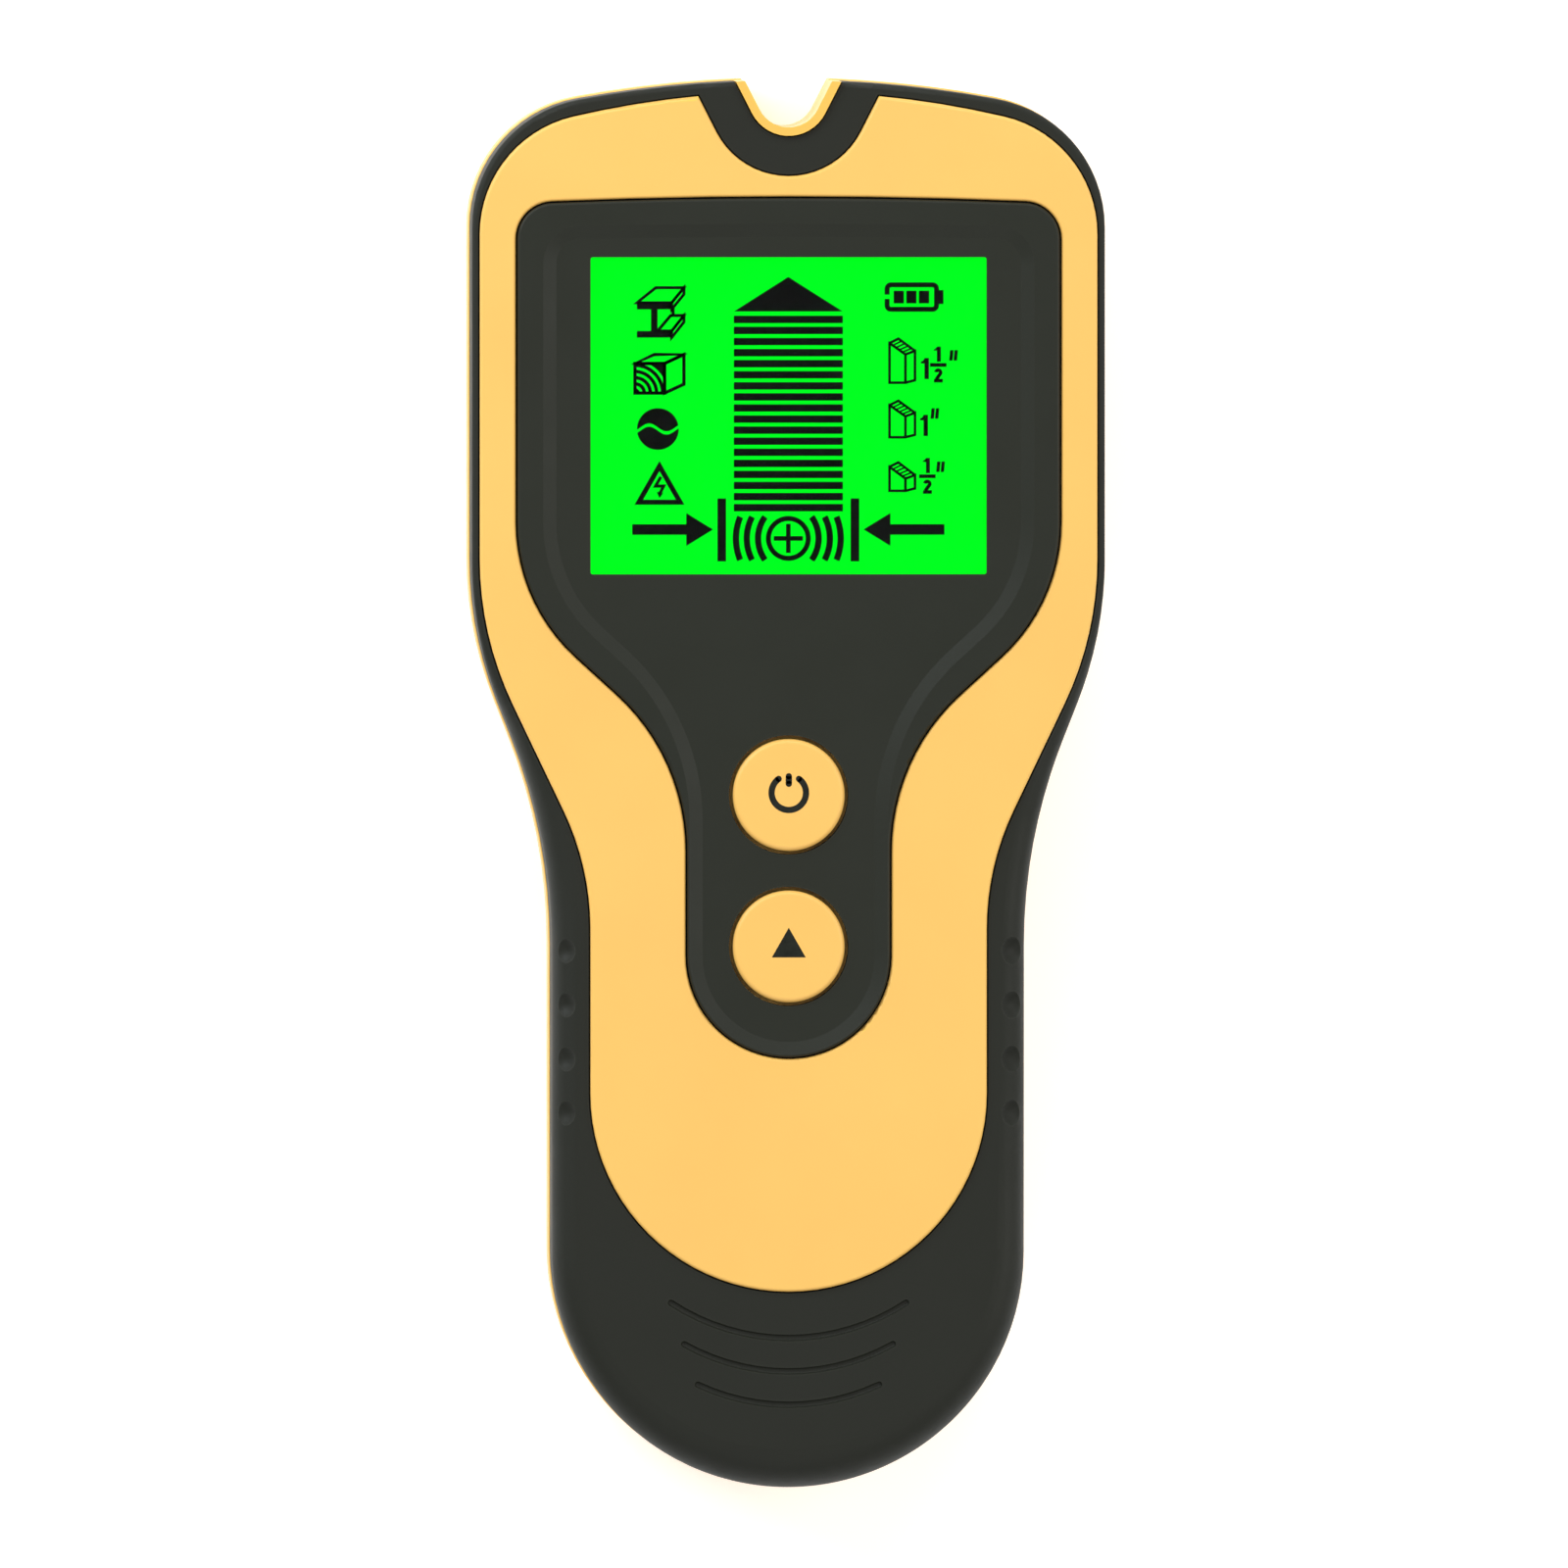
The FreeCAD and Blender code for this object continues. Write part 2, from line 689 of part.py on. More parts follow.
BOSS_X = "(Dims.head_half - Dims.boss_side)"
HANDLE_BOSS_X = "(Dims.handle_half - Dims.handle_boss_side)"
CASE_SCREWS = [
    (BOSS_X, f"({HEAD_Y} - Dims.head_screw_drop)"),
    (BOSS_X, f"({HEAD_Y} - Dims.waist_screw_drop)"),
    (HANDLE_BOSS_X, f"({TAIL_Y} + Dims.tail_screw_rise)"),
]
BOARD_SCREWS = [
    ("(Dims.board_half - Dims.board_screw_inset)", f"({HEAD_Y} - Dims.board_screw_drop)"),
    ("(Dims.board_neck_half - Dims.neck_screw_inset)", f"({POWER_Y} + Dims.neck_screw_rise)"),
]
SENSOR_SCREW_X = "(Dims.sensor_board_half - Dims.sensor_screw_inset)"
SENSOR_SCREWS = [
    (SENSOR_SCREW_X, f"({HEAD_Y} - Dims.sensor_top_drop - Dims.sensor_screw_end)"),
    (SENSOR_SCREW_X, f"({HEAD_Y} - Dims.sensor_tail_drop + Dims.sensor_screw_end)"),
]
BUTTONS = (("power", POWER_Y), ("mode", MODE_Y))


def both_sides(places):
    """Each place and its mirror image, numbered."""
    pairs = [(f"{side} * {x}", y) for x, y in places for side in (-1, 1)]
    return list(enumerate(pairs))


def notch_block(name, extra, low, high):
    """The marking notch widened by an expression."""
    return block(name, notch(f"(Dims.notch_radius + ({extra}))"), low, high)


def screw(name, x, y, head_low, head_high, shank_low, shank_high, radius, head_radius, drive_low):
    """A pan-head screw with a cross recess in the head's outer face."""
    head = cylinder(f"{name}_head", x, y, head_low, head_radius, head_high)
    shank = cylinder(f"{name}_shank", x, y, shank_low, radius, shank_high)
    depth = f"({head_high} - {head_low}) * Dims.cross_share"
    reach = f"{head_radius} * Dims.cross_share"
    thin = "Dims.cross_width / 2"
    arms = []
    for tag, half_x, half_y in (("a", reach, thin), ("b", thin, reach)):
        arms.append(box(f"{name}_slot_{tag}", f"{x} - {half_x}", f"{x} + {half_x}",
                        f"{y} - {half_y}", f"{y} + {half_y}", drive_low, f"{drive_low} + {depth}"))
    return cut(name, fused(f"{name}_blank", [head, shank]), arms)


# ---------------------------------------------------------------- shells


def rounded_front_blank():
    """The front shell's outside: the edge round grows from the head down the handle to the tail."""
    blank = block("front_blank", paddle(BODY_OUTLINE, "Dims.shell_step"), PARTING, FACE)
    shoulder_y = value(BODY_OUTLINE["shoulder_y"])
    grip_y = value(POWER_Y)
    tail_centre = value(f"{TAIL_Y} + Dims.handle_half")
    tail_y = value(TAIL_Y)
    head, handle, tail = (value(f"Dims.{name}_round") for name in ("head", "handle", "tail"))

    def radius_at(y):
        if y >= shoulder_y:
            return head
        if y >= grip_y:
            return head + (handle - head) * (shoulder_y - y) / (shoulder_y - grip_y)
        if y >= tail_centre:
            return handle
        return handle + (tail - handle) * (tail_centre - y) / (tail_centre - tail_y)

    seam = value("Dims.seam_round")
    radii = []
    for index, edge in enumerate(blank.Shape.Edges, 1):
        if at_height(value(FACE))(edge.BoundBox):
            first, last = (vertex.Point.y for vertex in edge.Vertexes)
            radii.append((index, radius_at(first), radius_at(last)))
        elif at_height(value(PARTING))(edge.BoundBox):
            radii.append((index, seam, seam))
    return eased("front_rounded", blank, radii)


def front_shell():
    """Dark over-moulded front half with the seat for the face panel and the display opening."""
    blank = rounded_front_blank()
    below = f"({PARTING} - Dims.cut_past)"
    above = f"({FACE} + Dims.cut_past)"
    inside = block("front_inside", paddle(BODY_OUTLINE, "Dims.shell_step + Dims.wall"), below, ROOF)
    notch_wall = notch_block("front_notch_wall", "Dims.wall", f"({below} - Dims.cut_past)",
                             f"({ROOF} + Dims.cut_past)")
    hollow = cut("front_hollow", inside, [notch_wall])
    ring = notch_block("front_ring", "Dims.notch_ring", f"({SEAT} - Dims.cut_past)",
                       f"({above} + Dims.cut_past)")
    seat = cut("panel_seat", block("panel_seat_block", paddle(PANEL_OUTLINE), SEAT, above), [ring])
    notch_gap = notch_block("front_notch", "0", below, above)
    glass_x = "(Dims.window_width / 2 + Dims.glass_margin + Dims.glass_room)"
    glass_y = "(Dims.window_height / 2 + Dims.glass_margin + Dims.glass_room)"
    window = block("front_window", centred(glass_x, WINDOW_Y, glass_y), f"({ROOF} - Dims.cut_past)", above)
    tools = [hollow, seat, notch_gap, window]
    for name, y in BUTTONS:
        tools.append(cylinder(f"front_{name}_hole", "0", y, f"({ROOF} - Dims.cut_past)",
                              "Dims.button_radius + Dims.button_gap", above))
    shell = cut("front_open", blank, tools)
    bosses = []
    boss_top = f"({ROOF} + Dims.boss_bury)"
    finish = tail_grooves() + dimples()
    for index, (x, y) in both_sides(CASE_SCREWS):
        bosses.append(cylinder(f"front_boss_{index}", x, y, PARTING, "Dims.boss_radius", boss_top))
        finish.append(cylinder(f"front_pilot_{index}", x, y, below,
                               "Dims.case_screw_radius + Dims.pilot_slack",
                               f"({PARTING} + Dims.case_screw_bite + Dims.pilot_spare)"))
    for index, (x, y) in both_sides(BOARD_SCREWS):
        bosses.append(cylinder(f"board_boss_{index}", x, y, BOARD_TOP, "Dims.board_boss_radius", boss_top))
        finish.append(cylinder(f"board_pilot_{index}", x, y, f"({BOARD_TOP} - Dims.cut_past)",
                               "Dims.board_screw_radius + Dims.pilot_slack",
                               f"({BOARD_TOP} + Dims.board_screw_bite + Dims.pilot_spare)"))
    piece("front_shell", cut("front_finished", fused("front_bossed", [shell] + bosses), finish))


def tail_grooves():
    """Smiling grip grooves with round ends near the tail; each lower one is a little shorter."""
    tools = []
    for index in range(GROOVES):
        span = f"(Dims.groove_span - {index} * Dims.groove_narrowing)"
        centre_y = f"({TAIL_Y} + Dims.groove_rise - {index} * Dims.groove_pitch + Dims.groove_radius)"
        groove = doc.addObject("Part::Torus", f"tail_groove_{index}")
        turn = FreeCAD.Rotation(V(0, 0, 1), 270 - value(span) / 2)
        groove.Placement = FreeCAD.Placement(V(), turn)
        groove.setExpression("Radius1", "Dims.groove_radius")
        groove.setExpression("Radius2", "Dims.groove_tube")
        groove.setExpression("Angle3", span)
        groove.setExpression("Placement.Base.y", centre_y)
        groove.setExpression("Placement.Base.z", FACE)
        tools.append(groove)
        for side in (-1, 1):
            x = f"{side} * Dims.groove_radius * sin({span} / 2 * 1deg)"
            y = f"{centre_y} - Dims.groove_radius * cos({span} / 2 * 1deg)"
            tools.append(sphere(f"groove_end_{index}_{side + 1}", x, y, FACE, "Dims.groove_tube"))
    return tools


def dimples():
    """Shallow grip dimples along each rounded shoulder of the handle."""
    balls = []
    away = "(Dims.handle_round - Dims.dimple_inset)"
    lift = f"(Dims.handle_round + Dims.dimple_ball - Dims.dimple_depth)"
    rise = f"({lift} * sqrt(Dims.handle_round ^ 2 - {away} ^ 2) / Dims.handle_round)"
    out = f"({lift} * {away} / Dims.handle_round)"
    for side in (-1, 1):
        for index in range(DIMPLES):
            x = f"{side} * (Dims.handle_half - Dims.shell_step - Dims.handle_round + {out})"
            y = f"({HEAD_Y} - Dims.dimple_drop - {index} * Dims.dimple_pitch)"
            z = f"({FACE} - Dims.handle_round + {rise})"
            balls.append(sphere(f"dimple_{index}_{side + 1}", x, y, z, "Dims.dimple_ball"))
    return balls


def rear_shell():
    """Yellow rear half: floor, wall, notch lining, battery cradle, door channel and bosses."""
    low = value(BACK)
    outside = block("rear_blank", paddle(BODY_OUTLINE), BACK, PARTING)
    rounded(outside, "Dims.back_round", at_height(low))
    rounded(outside, "Dims.seam_round", at_height(value(PARTING)))
    clear = "(-Dims.lining_gap - Dims.lining_wall)"
    above = f"({PANEL_TOP} + Dims.cut_past)"
    inside = block("rear_inside", paddle(BODY_OUTLINE, "Dims.wall"), FLOOR, f"({PARTING} + Dims.cut_past)")
    notch_wall = notch_block("rear_notch_wall", f"Dims.wall + {clear}", "0",
                             f"({PARTING} + 2 * Dims.cut_past)")
    tray = cut("rear_tray", outside, [cut("rear_hollow", inside, [notch_wall])])
    lining = common("notch_lining", [
        notch_block("lining_outside", "-Dims.lining_gap", f"({PARTING} - Dims.cut_past)", PANEL_TOP),
        block("lining_limit", paddle(BODY_OUTLINE, "Dims.shell_step"), "0", above)])
    added = [tray, lining]
    ledge_low = f"({DOOR_TOP} + Dims.tongue_gap)"
    walls_tail = f"({TAIL_Y} + Dims.cradle_tail)"
    boss_low = f"({FLOOR} - Dims.boss_bury)"
    for side, tag in ((-1, "left"), (1, "right")):
        for name, width, top in (
                ("cradle", "Dims.cradle_wall", f"({FLOOR} + Dims.cradle_height)"),
                ("ledge", "Dims.ledge_width", f"({ledge_low} + Dims.ledge_thick)")):
            inner = CRADLE_HALF
            outer = f"({CRADLE_HALF} + {width})"
            left, right = (inner, outer) if side > 0 else (f"-{outer}", f"-{inner}")
            floor = ledge_low if name == "cradle" else boss_low
            added.append(box(f"{name}_{tag}", left, right, walls_tail, BATTERY_HEAD, floor, top))
    for index, (x, y) in both_sides(CASE_SCREWS):
        added.append(cylinder(f"rear_boss_{index}", x, y, boss_low,
                              "Dims.case_screw_head + Dims.counterbore_gap + Dims.counterbore_wall", PARTING))
    for index, (x, y) in both_sides(SENSOR_SCREWS):
        added.append(cylinder(f"sensor_post_{index}", x, y, boss_low, "Dims.board_boss_radius", SENSOR_LOW))
    under = "-Dims.cut_past"
    holes = [notch_block("rear_notch", clear, under, above)]
    far = f"({TAIL_Y} - Dims.cut_past)"
    door_head = f"({BATTERY_HEAD} + Dims.door_gap)"
    channel_half = f"({DOOR_HALF} + Dims.door_gap)"
    groove_half = f"({DOOR_HALF} + Dims.tongue_width + Dims.tongue_side_gap)"
    holes.append(box("door_channel", f"-{channel_half}", channel_half, far, door_head, under, ledge_low))
    holes.append(box("tongue_groove", f"-{groove_half}", groove_half, far, door_head,
                     f"({TONGUE_LOW} - Dims.tongue_gap)", ledge_low))
    for index, (x, y) in both_sides(CASE_SCREWS):
        holes.append(cylinder(f"counterbore_{index}", x, y, under,
                              "Dims.case_screw_head + Dims.counterbore_gap", "Dims.case_seat"))
        holes.append(cylinder(f"case_hole_{index}", x, y, "0",
                              "Dims.case_screw_radius + Dims.hole_gap", f"({PARTING} + Dims.cut_past)"))
    for index, (x, y) in both_sides(SENSOR_SCREWS):
        holes.append(cylinder(f"sensor_pilot_{index}", x, y, f"({FLOOR} - Dims.pilot_spare)",
                              "Dims.board_screw_radius + Dims.pilot_slack",
                              f"({SENSOR_LOW} + Dims.cut_past)"))
    for index, (x, y, half_x, half_y) in enumerate(glide_places()):
        room_x, room_y = f"({half_x} + Dims.glide_gap)", f"({half_y} + Dims.glide_gap)"
        holes.append(box(f"glide_pocket_{index}", f"{x} - {room_x}", f"{x} + {room_x}",
                         f"{y} - {room_y}", f"{y} + {room_y}", under, f"{BACK} + Dims.glide_sink"))
    piece("rear_shell", cut("rear_finished", fused("rear_fused", added), holes))


def glide_places():
    """Centre and half sizes of the felt glide pads: two strips at the head, two on the handle."""
    head_x = "(Dims.head_half - Dims.glide_side)"
    tail_x = f"({DOOR_HALF} + Dims.tongue_width + Dims.glide_door_gap)"
    head_y = f"({HEAD_Y} - Dims.glide_head_drop)"
    tail_y = f"({TAIL_Y} + Dims.glide_tail_rise)"
    head_half = ("(Dims.glide_width / 2)", "(Dims.glide_length / 2)")
    tail_half = ("(Dims.tail_glide_width / 2)", "(Dims.tail_glide_length / 2)")
    places = []
    for side in (-1, 1):
        places.append((f"{side} * {head_x}", head_y, *head_half))
        places.append((f"{side} * {tail_x}", tail_y, *tail_half))
    return places


def glide_pads():
    pads = []
    for index, (x, y, half_x, half_y) in enumerate(glide_places()):
        pad = block(f"glide_pad_{index}", rectangle(f"{x} - {half_x}", f"{x} + {half_x}",
                                                    f"{y} - {half_y}", f"{y} + {half_y}"),
                    "0", f"{BACK} + Dims.glide_sink")
        rounded(pad, "Dims.glide_round", upright)
        pads.append(pad)
    piece("glide_pads", group("glide_pad_set", pads))


# ---------------------------------------------------------------- face


def face_panel():
    """Yellow inlay that fills the shell's seat, open round the fascia and the notch ring."""
    panel = block("panel_blank", paddle(PANEL_OUTLINE, "Dims.inlay_gap"), SEAT, PANEL_TOP)
    above = f"({PANEL_TOP} + Dims.cut_past)"
    below = f"({SEAT} - Dims.cut_past)"
    ring = notch_block("panel_ring", "Dims.notch_ring + Dims.inlay_gap", below, above)
    island = block("panel_island", paddle(ISLAND_OUTLINE), below, above)
    opened = cut("panel_opened", panel, [ring, island])
    piece("face_panel", eased_at("panel_finished", opened, PANEL_TOP, "Dims.panel_round"))


def window_block(name, margin, low, high):
    """A rectangle round the display window, wider all round by an expression."""
    half_x = f"(Dims.window_width / 2 + ({margin}))"
    half_y = f"(Dims.window_height / 2 + ({margin}))"
    return block(name, centred(half_x, WINDOW_Y, half_y), low, high)


def tray_block():
    """The hollow over the fascia's tray: its sides slope out from the tray's edge to the rim."""
    body = doc.addObject("PartDesign::Body", "tray_hollow")
    floor = new_sketch(body, "tray_floor", TRAY)
    paddle(TRAY_OUTLINE)(floor)
    mouth = new_sketch(body, "tray_mouth", f"({ISLAND_TOP} + Dims.island_step)")
    paddle(TRAY_OUTLINE, "-2 * Dims.tray_slope")(mouth)
    loft = body.newObject("PartDesign::AdditiveLoft", "tray_loft")
    loft.Profile = floor
    loft.Sections = [mouth]
    loft.Ruled = True
    doc.recompute()
    return body


def display_fascia():
    """Dark island round the display and the buttons: a rim that slopes down to a flat tray."""
    blank = block("island_blank", paddle(ISLAND_OUTLINE, "Dims.inlay_gap"), SEAT, ISLAND_TOP)
    island = eased_at("island_eased", blank, ISLAND_TOP, "Dims.island_round")
    above = f"({ISLAND_TOP} + Dims.cut_past)"
    below = f"({SEAT} - Dims.cut_past)"
    tools = [tray_block()]
    window = window_block("island_window", "0", below, TRAY)
    tools.append(rounded(window, "Dims.window_corner", upright))
    tools.append(window_block("island_rebate", "Dims.lens_flange + Dims.lens_gap", below,
                              f"{SEAT} + Dims.lens_flange_thick + Dims.lens_gap"))
    for name, y in BUTTONS:
        tools.append(cylinder(f"island_{name}_hole", "0", y, below,
                              "Dims.button_radius + Dims.button_gap", above))
    piece("display_fascia", cut("fascia_finished", island, tools))


def display_lens():
    """Clear window with a flange that is glued up into the fascia's rebate."""
    top = f"({TRAY} + Dims.lens_rise)"
    window = window_block("lens_window", "-Dims.lens_gap", SEAT, top)
    rounded(window, "Dims.window_corner - Dims.lens_gap / 2", upright)
    flange = window_block("lens_flange", "Dims.lens_flange", SEAT, f"{SEAT} + Dims.lens_flange_thick")
    piece("display_lens", fused("lens_finished", [window, flange]))


def button(name, y):
    """Round press button: a solid cap over a skirt with a flange that stops under the roof."""
    inner = "(Dims.button_radius - Dims.skirt_wall)"
    flange_radius = "(Dims.button_radius + Dims.flange_width)"
    flange_top = f"({ROOF} - Dims.flange_gap)"
    flange_low = f"({flange_top} - Dims.flange_thick)"
    profile = [
        ("0", ROOF),
        (inner, ROOF),
        (inner, flange_low),
        (flange_radius, flange_low),
        (flange_radius, flange_top),
        ("Dims.button_radius", flange_top),
        ("Dims.button_radius", "Dims.thickness"),
        ("0", "Dims.thickness"),
    ]
    cap = turned(f"{name}_cap", profile, y=y)
    piece(f"{name}_button", rounded(cap, "Dims.button_round", at_height(value("Dims.thickness"))))


# ---------------------------------------------------------------- display stack and boards


def display_stack():
    """LCD glass in its frame, over the backlight and two elastomer contact strips."""
    glass_top = f"({SEAT} - Dims.glass_gap)"
    glass_low = f"({glass_top} - Dims.glass_thick)"
    piece("lcd_glass", window_block("glass_plate", "Dims.glass_margin", glass_low, glass_top))
    frame_top = f"({ROOF} - Dims.glass_gap)"
    inside = "Dims.glass_margin + Dims.glass_gap"
    outer = window_block("frame_outer", f"{inside} + Dims.frame_wall", BOARD_TOP, frame_top)
    inner = window_block("frame_inner", inside, f"({BOARD_TOP} - Dims.cut_past)",
                         f"({frame_top} + Dims.cut_past)")
    piece("lcd_frame", cut("frame_finished", outer, [inner]))
    light_x = "(Dims.window_width / 2 + Dims.glass_margin)"
    light_y = "(Dims.window_height / 2 - Dims.strip_width)"
    piece("backlight", block("backlight_plate", centred(light_x, WINDOW_Y, light_y), BOARD_TOP,
                             f"{BOARD_TOP} + Dims.backlight_thick"))
    strips = []
    glass_edge = "(Dims.window_height / 2 + Dims.glass_margin)"
    for side, tag in ((-1, "low"), (1, "high")):
        middle = f"({WINDOW_Y} + {side} * ({glass_edge} - Dims.strip_width / 2))"
        half_x = "(Dims.window_width / 2 - Dims.strip_inset)"
        strips.append(box(f"strip_{tag}", f"-{half_x}", half_x, f"{middle} - Dims.strip_width / 2",
                          f"{middle} + Dims.strip_width / 2", BOARD_TOP, glass_low))
    piece("contact_strips", group("strip_pair", strips))


def main_board():
    """Circuit board under the display, with a neck that carries the two switches."""
    top = f"({HEAD_Y} - Dims.board_top_drop)"
    step = f"({HEAD_Y} - Dims.board_step_drop)"
    tail = f"({MODE_Y} - Dims.board_tail)"
    half, neck = "Dims.board_half", "Dims.board_neck_half"
    outline = polygon([(f"-{half}", step), (f"-{neck}", step), (f"-{neck}", tail), (neck, tail),
                       (neck, step), (half, step), (half, top), (f"-{half}", top)])
    board = block("board_blank", outline, BOARD_LOW, BOARD_TOP)
    holes = [cylinder(f"board_hole_{index}", x, y, f"({BOARD_LOW} - Dims.cut_past)",
                      "Dims.board_screw_radius + Dims.hole_gap", f"({BOARD_TOP} + Dims.cut_past)")
             for index, (x, y) in both_sides(BOARD_SCREWS)]
    piece("main_board", cut("board_finished", board, holes))


def sensor_board():
    """Board on the floor with three copper sensing plates under it and the metal coil on it."""
    top = f"({HEAD_Y} - Dims.sensor_top_drop)"
    tail = f"({HEAD_Y} - Dims.sensor_tail_drop)"
    half = "Dims.sensor_board_half"
    board = block("sensor_blank", rectangle(f"-{half}", half, tail, top), SENSOR_LOW, SENSOR_TOP)
    holes = [cylinder(f"sensor_hole_{index}", x, y, f"({SENSOR_LOW} - Dims.cut_past)",
                      "Dims.board_screw_radius + Dims.hole_gap", f"({SENSOR_TOP} + Dims.cut_past)")
             for index, (x, y) in both_sides(SENSOR_SCREWS)]
    piece("sensor_board", cut("sensor_finished", board, holes))
    middle = f"(({top} + {tail}) / 2)"
    plates = []
    for index in (-1, 0, 1):
        x = f"{index} * Dims.plate_pitch"
        plates.append(box(f"plate_{index + 1}",
                          f"{x} - Dims.plate_width / 2", f"{x} + Dims.plate_width / 2",
                          f"{middle} - Dims.plate_length / 2", f"{middle} + Dims.plate_length / 2",
                          f"{SENSOR_LOW} - Dims.plate_thick", SENSOR_LOW))
    piece("sensor_plates", group("plate_set", plates))
    coil_top = f"({SENSOR_TOP} + Dims.coil_height)"
    profile = [("Dims.coil_inner", SENSOR_TOP), ("Dims.coil_outer", SENSOR_TOP),
               ("Dims.coil_outer", coil_top), ("Dims.coil_inner", coil_top)]
    piece("metal_coil", turned("coil_winding", profile, y=f"({HEAD_Y} - Dims.coil_drop)"))


def board_parts():
    """Pin header between the boards, controller chip, buzzer and capacitors."""
    pins = []
    sockets = []
    y = f"({HEAD_Y} - Dims.pin_drop)"
    half = "Dims.pin_side / 2"
    for index in range(HEADER_PINS):
        x = f"({index} - {(HEADER_PINS - 1) / 2}) * Dims.pin_pitch"
        sides = (f"{x} - {half}", f"{x} + {half}", f"{y} - {half}", f"{y} + {half}")
        pins.append(box(f"pin_{index}", *sides, SENSOR_TOP, BOARD_LOW))
        sockets.append(box(f"pin_socket_{index}", *sides, SENSOR_TOP, BOARD_LOW))
    piece("header_pins", group("pin_row", pins))
    long_half = f"{HEADER_PINS / 2} * Dims.pin_pitch"
    strip = box("header_blank", f"-{long_half}", long_half, f"{y} - Dims.header_depth / 2",
                f"{y} + Dims.header_depth / 2", SENSOR_TOP, f"{SENSOR_TOP} + Dims.header_height")
    piece("header_block", cut("header_finished", strip, sockets))
    chip_y = f"({WINDOW_Y} + Dims.chip_rise)"
    chip_outline = rectangle("Dims.chip_left", "Dims.chip_left + Dims.chip_side", chip_y,
                             f"{chip_y} + Dims.chip_side")
    chip = block("chip_blank", chip_outline, f"({BOARD_LOW} - Dims.chip_height)", BOARD_LOW)
    piece("controller_chip", rounded(chip, "Dims.chip_round", upright))
    buzzer_low = f"({BOARD_LOW} - Dims.buzzer_height)"
    profile = [("Dims.buzzer_port", buzzer_low), ("Dims.buzzer_radius", buzzer_low),
               ("Dims.buzzer_radius", BOARD_LOW), ("0", BOARD_LOW),
               ("0", f"{buzzer_low} + Dims.buzzer_port_depth"),
               ("Dims.buzzer_port", f"{buzzer_low} + Dims.buzzer_port_depth")]
    piece("buzzer", turned("buzzer_can", profile, x="-Dims.buzzer_side",
                           y=f"({WINDOW_Y} + Dims.buzzer_rise)"))
    cans = [cylinder(f"capacitor_{index}", f"({index} * Dims.capacitor_pitch - Dims.capacitor_side)",
                     f"({WINDOW_Y} - Dims.capacitor_drop)", f"{BOARD_LOW} - Dims.capacitor_height",
                     "Dims.capacitor_radius", BOARD_LOW)
            for index in range(CAPACITORS)]
    piece("capacitors", group("capacitor_row", cans))


def tact_switch(name, y):
    """Low tactile switch on the board, and its plunger, which moves with the button."""
    half = "Dims.switch_side / 2"
    top = f"({BOARD_TOP} + Dims.switch_height)"
    plunger_low = f"({top} - Dims.plunger_depth)"
    housing = block(f"{name}_housing", rectangle(f"-{half}", half, f"{y} - {half}", f"{y} + {half}"),
                    BOARD_TOP, top)
    rounded(housing, "Dims.switch_round", upright)
    well = cylinder(f"{name}_well", "0", y, f"{plunger_low} - Dims.travel - Dims.plunger_gap",
                    "Dims.plunger_radius + Dims.plunger_gap", f"{top} + Dims.cut_past")
    piece(f"{name}_switch", cut(f"{name}_switch_body", housing, [well]))
    profile = [("0", plunger_low), ("Dims.plunger_radius", plunger_low),
               ("Dims.plunger_radius", ROOF), ("0", ROOF)]
    piece(f"{name}_plunger", turned(f"{name}_plunger_pin", profile, y=y))


# ---------------------------------------------------------------- battery


def battery():
    """Standard 9 V block with its two snap terminals towards the head."""
    half = "Dims.battery_width / 2"
    top = f"({BATTERY_LOW} + Dims.battery_depth)"
    case = doc.addObject("PartDesign::Body", "battery_case")
    sketch = new_sketch(case, "battery_section", f"-({BATTERY_HEAD})", "XZ_Plane")
    rectangle(f"-{half}", half, BATTERY_LOW, top)(sketch)
    pad = case.newObject("PartDesign::Pad", "battery_pad")
    pad.Profile = sketch
    pad.setExpression("Length", "Dims.battery_length")
    doc.recompute()
    rounded(case, "Dims.battery_corner", lambda edge: edge.XLength < TINY and edge.ZLength < TINY)
    piece("battery", case)
    stud_x = "Dims.terminal_spacing / 2"
    heights = (BATTERY_HEAD, BATTERY_MIDDLE)
    stud = lying_cylinder("plus_stud", f"-{stud_x}", heights[0], heights[1], "Dims.stud_radius",
                          CONNECTOR_TAIL)
    piece("battery_terminals", group("terminal_pair", [
        stud, snap_ring("minus_crown", stud_x, heights[0], CONNECTOR_TAIL)]))


def snap_ring(name, x, low_y, high_y):
    """A crown terminal: a short tube that a stud clips into."""
    outer = lying_cylinder(f"{name}_outer", x, low_y, BATTERY_MIDDLE, "Dims.crown_radius", high_y)
    inner = lying_cylinder(f"{name}_inner", x, f"{low_y} - Dims.cut_past", BATTERY_MIDDLE,
                           "Dims.stud_radius + Dims.snap_gap", f"{high_y} + Dims.cut_past")
    return cut(name, outer, [inner])


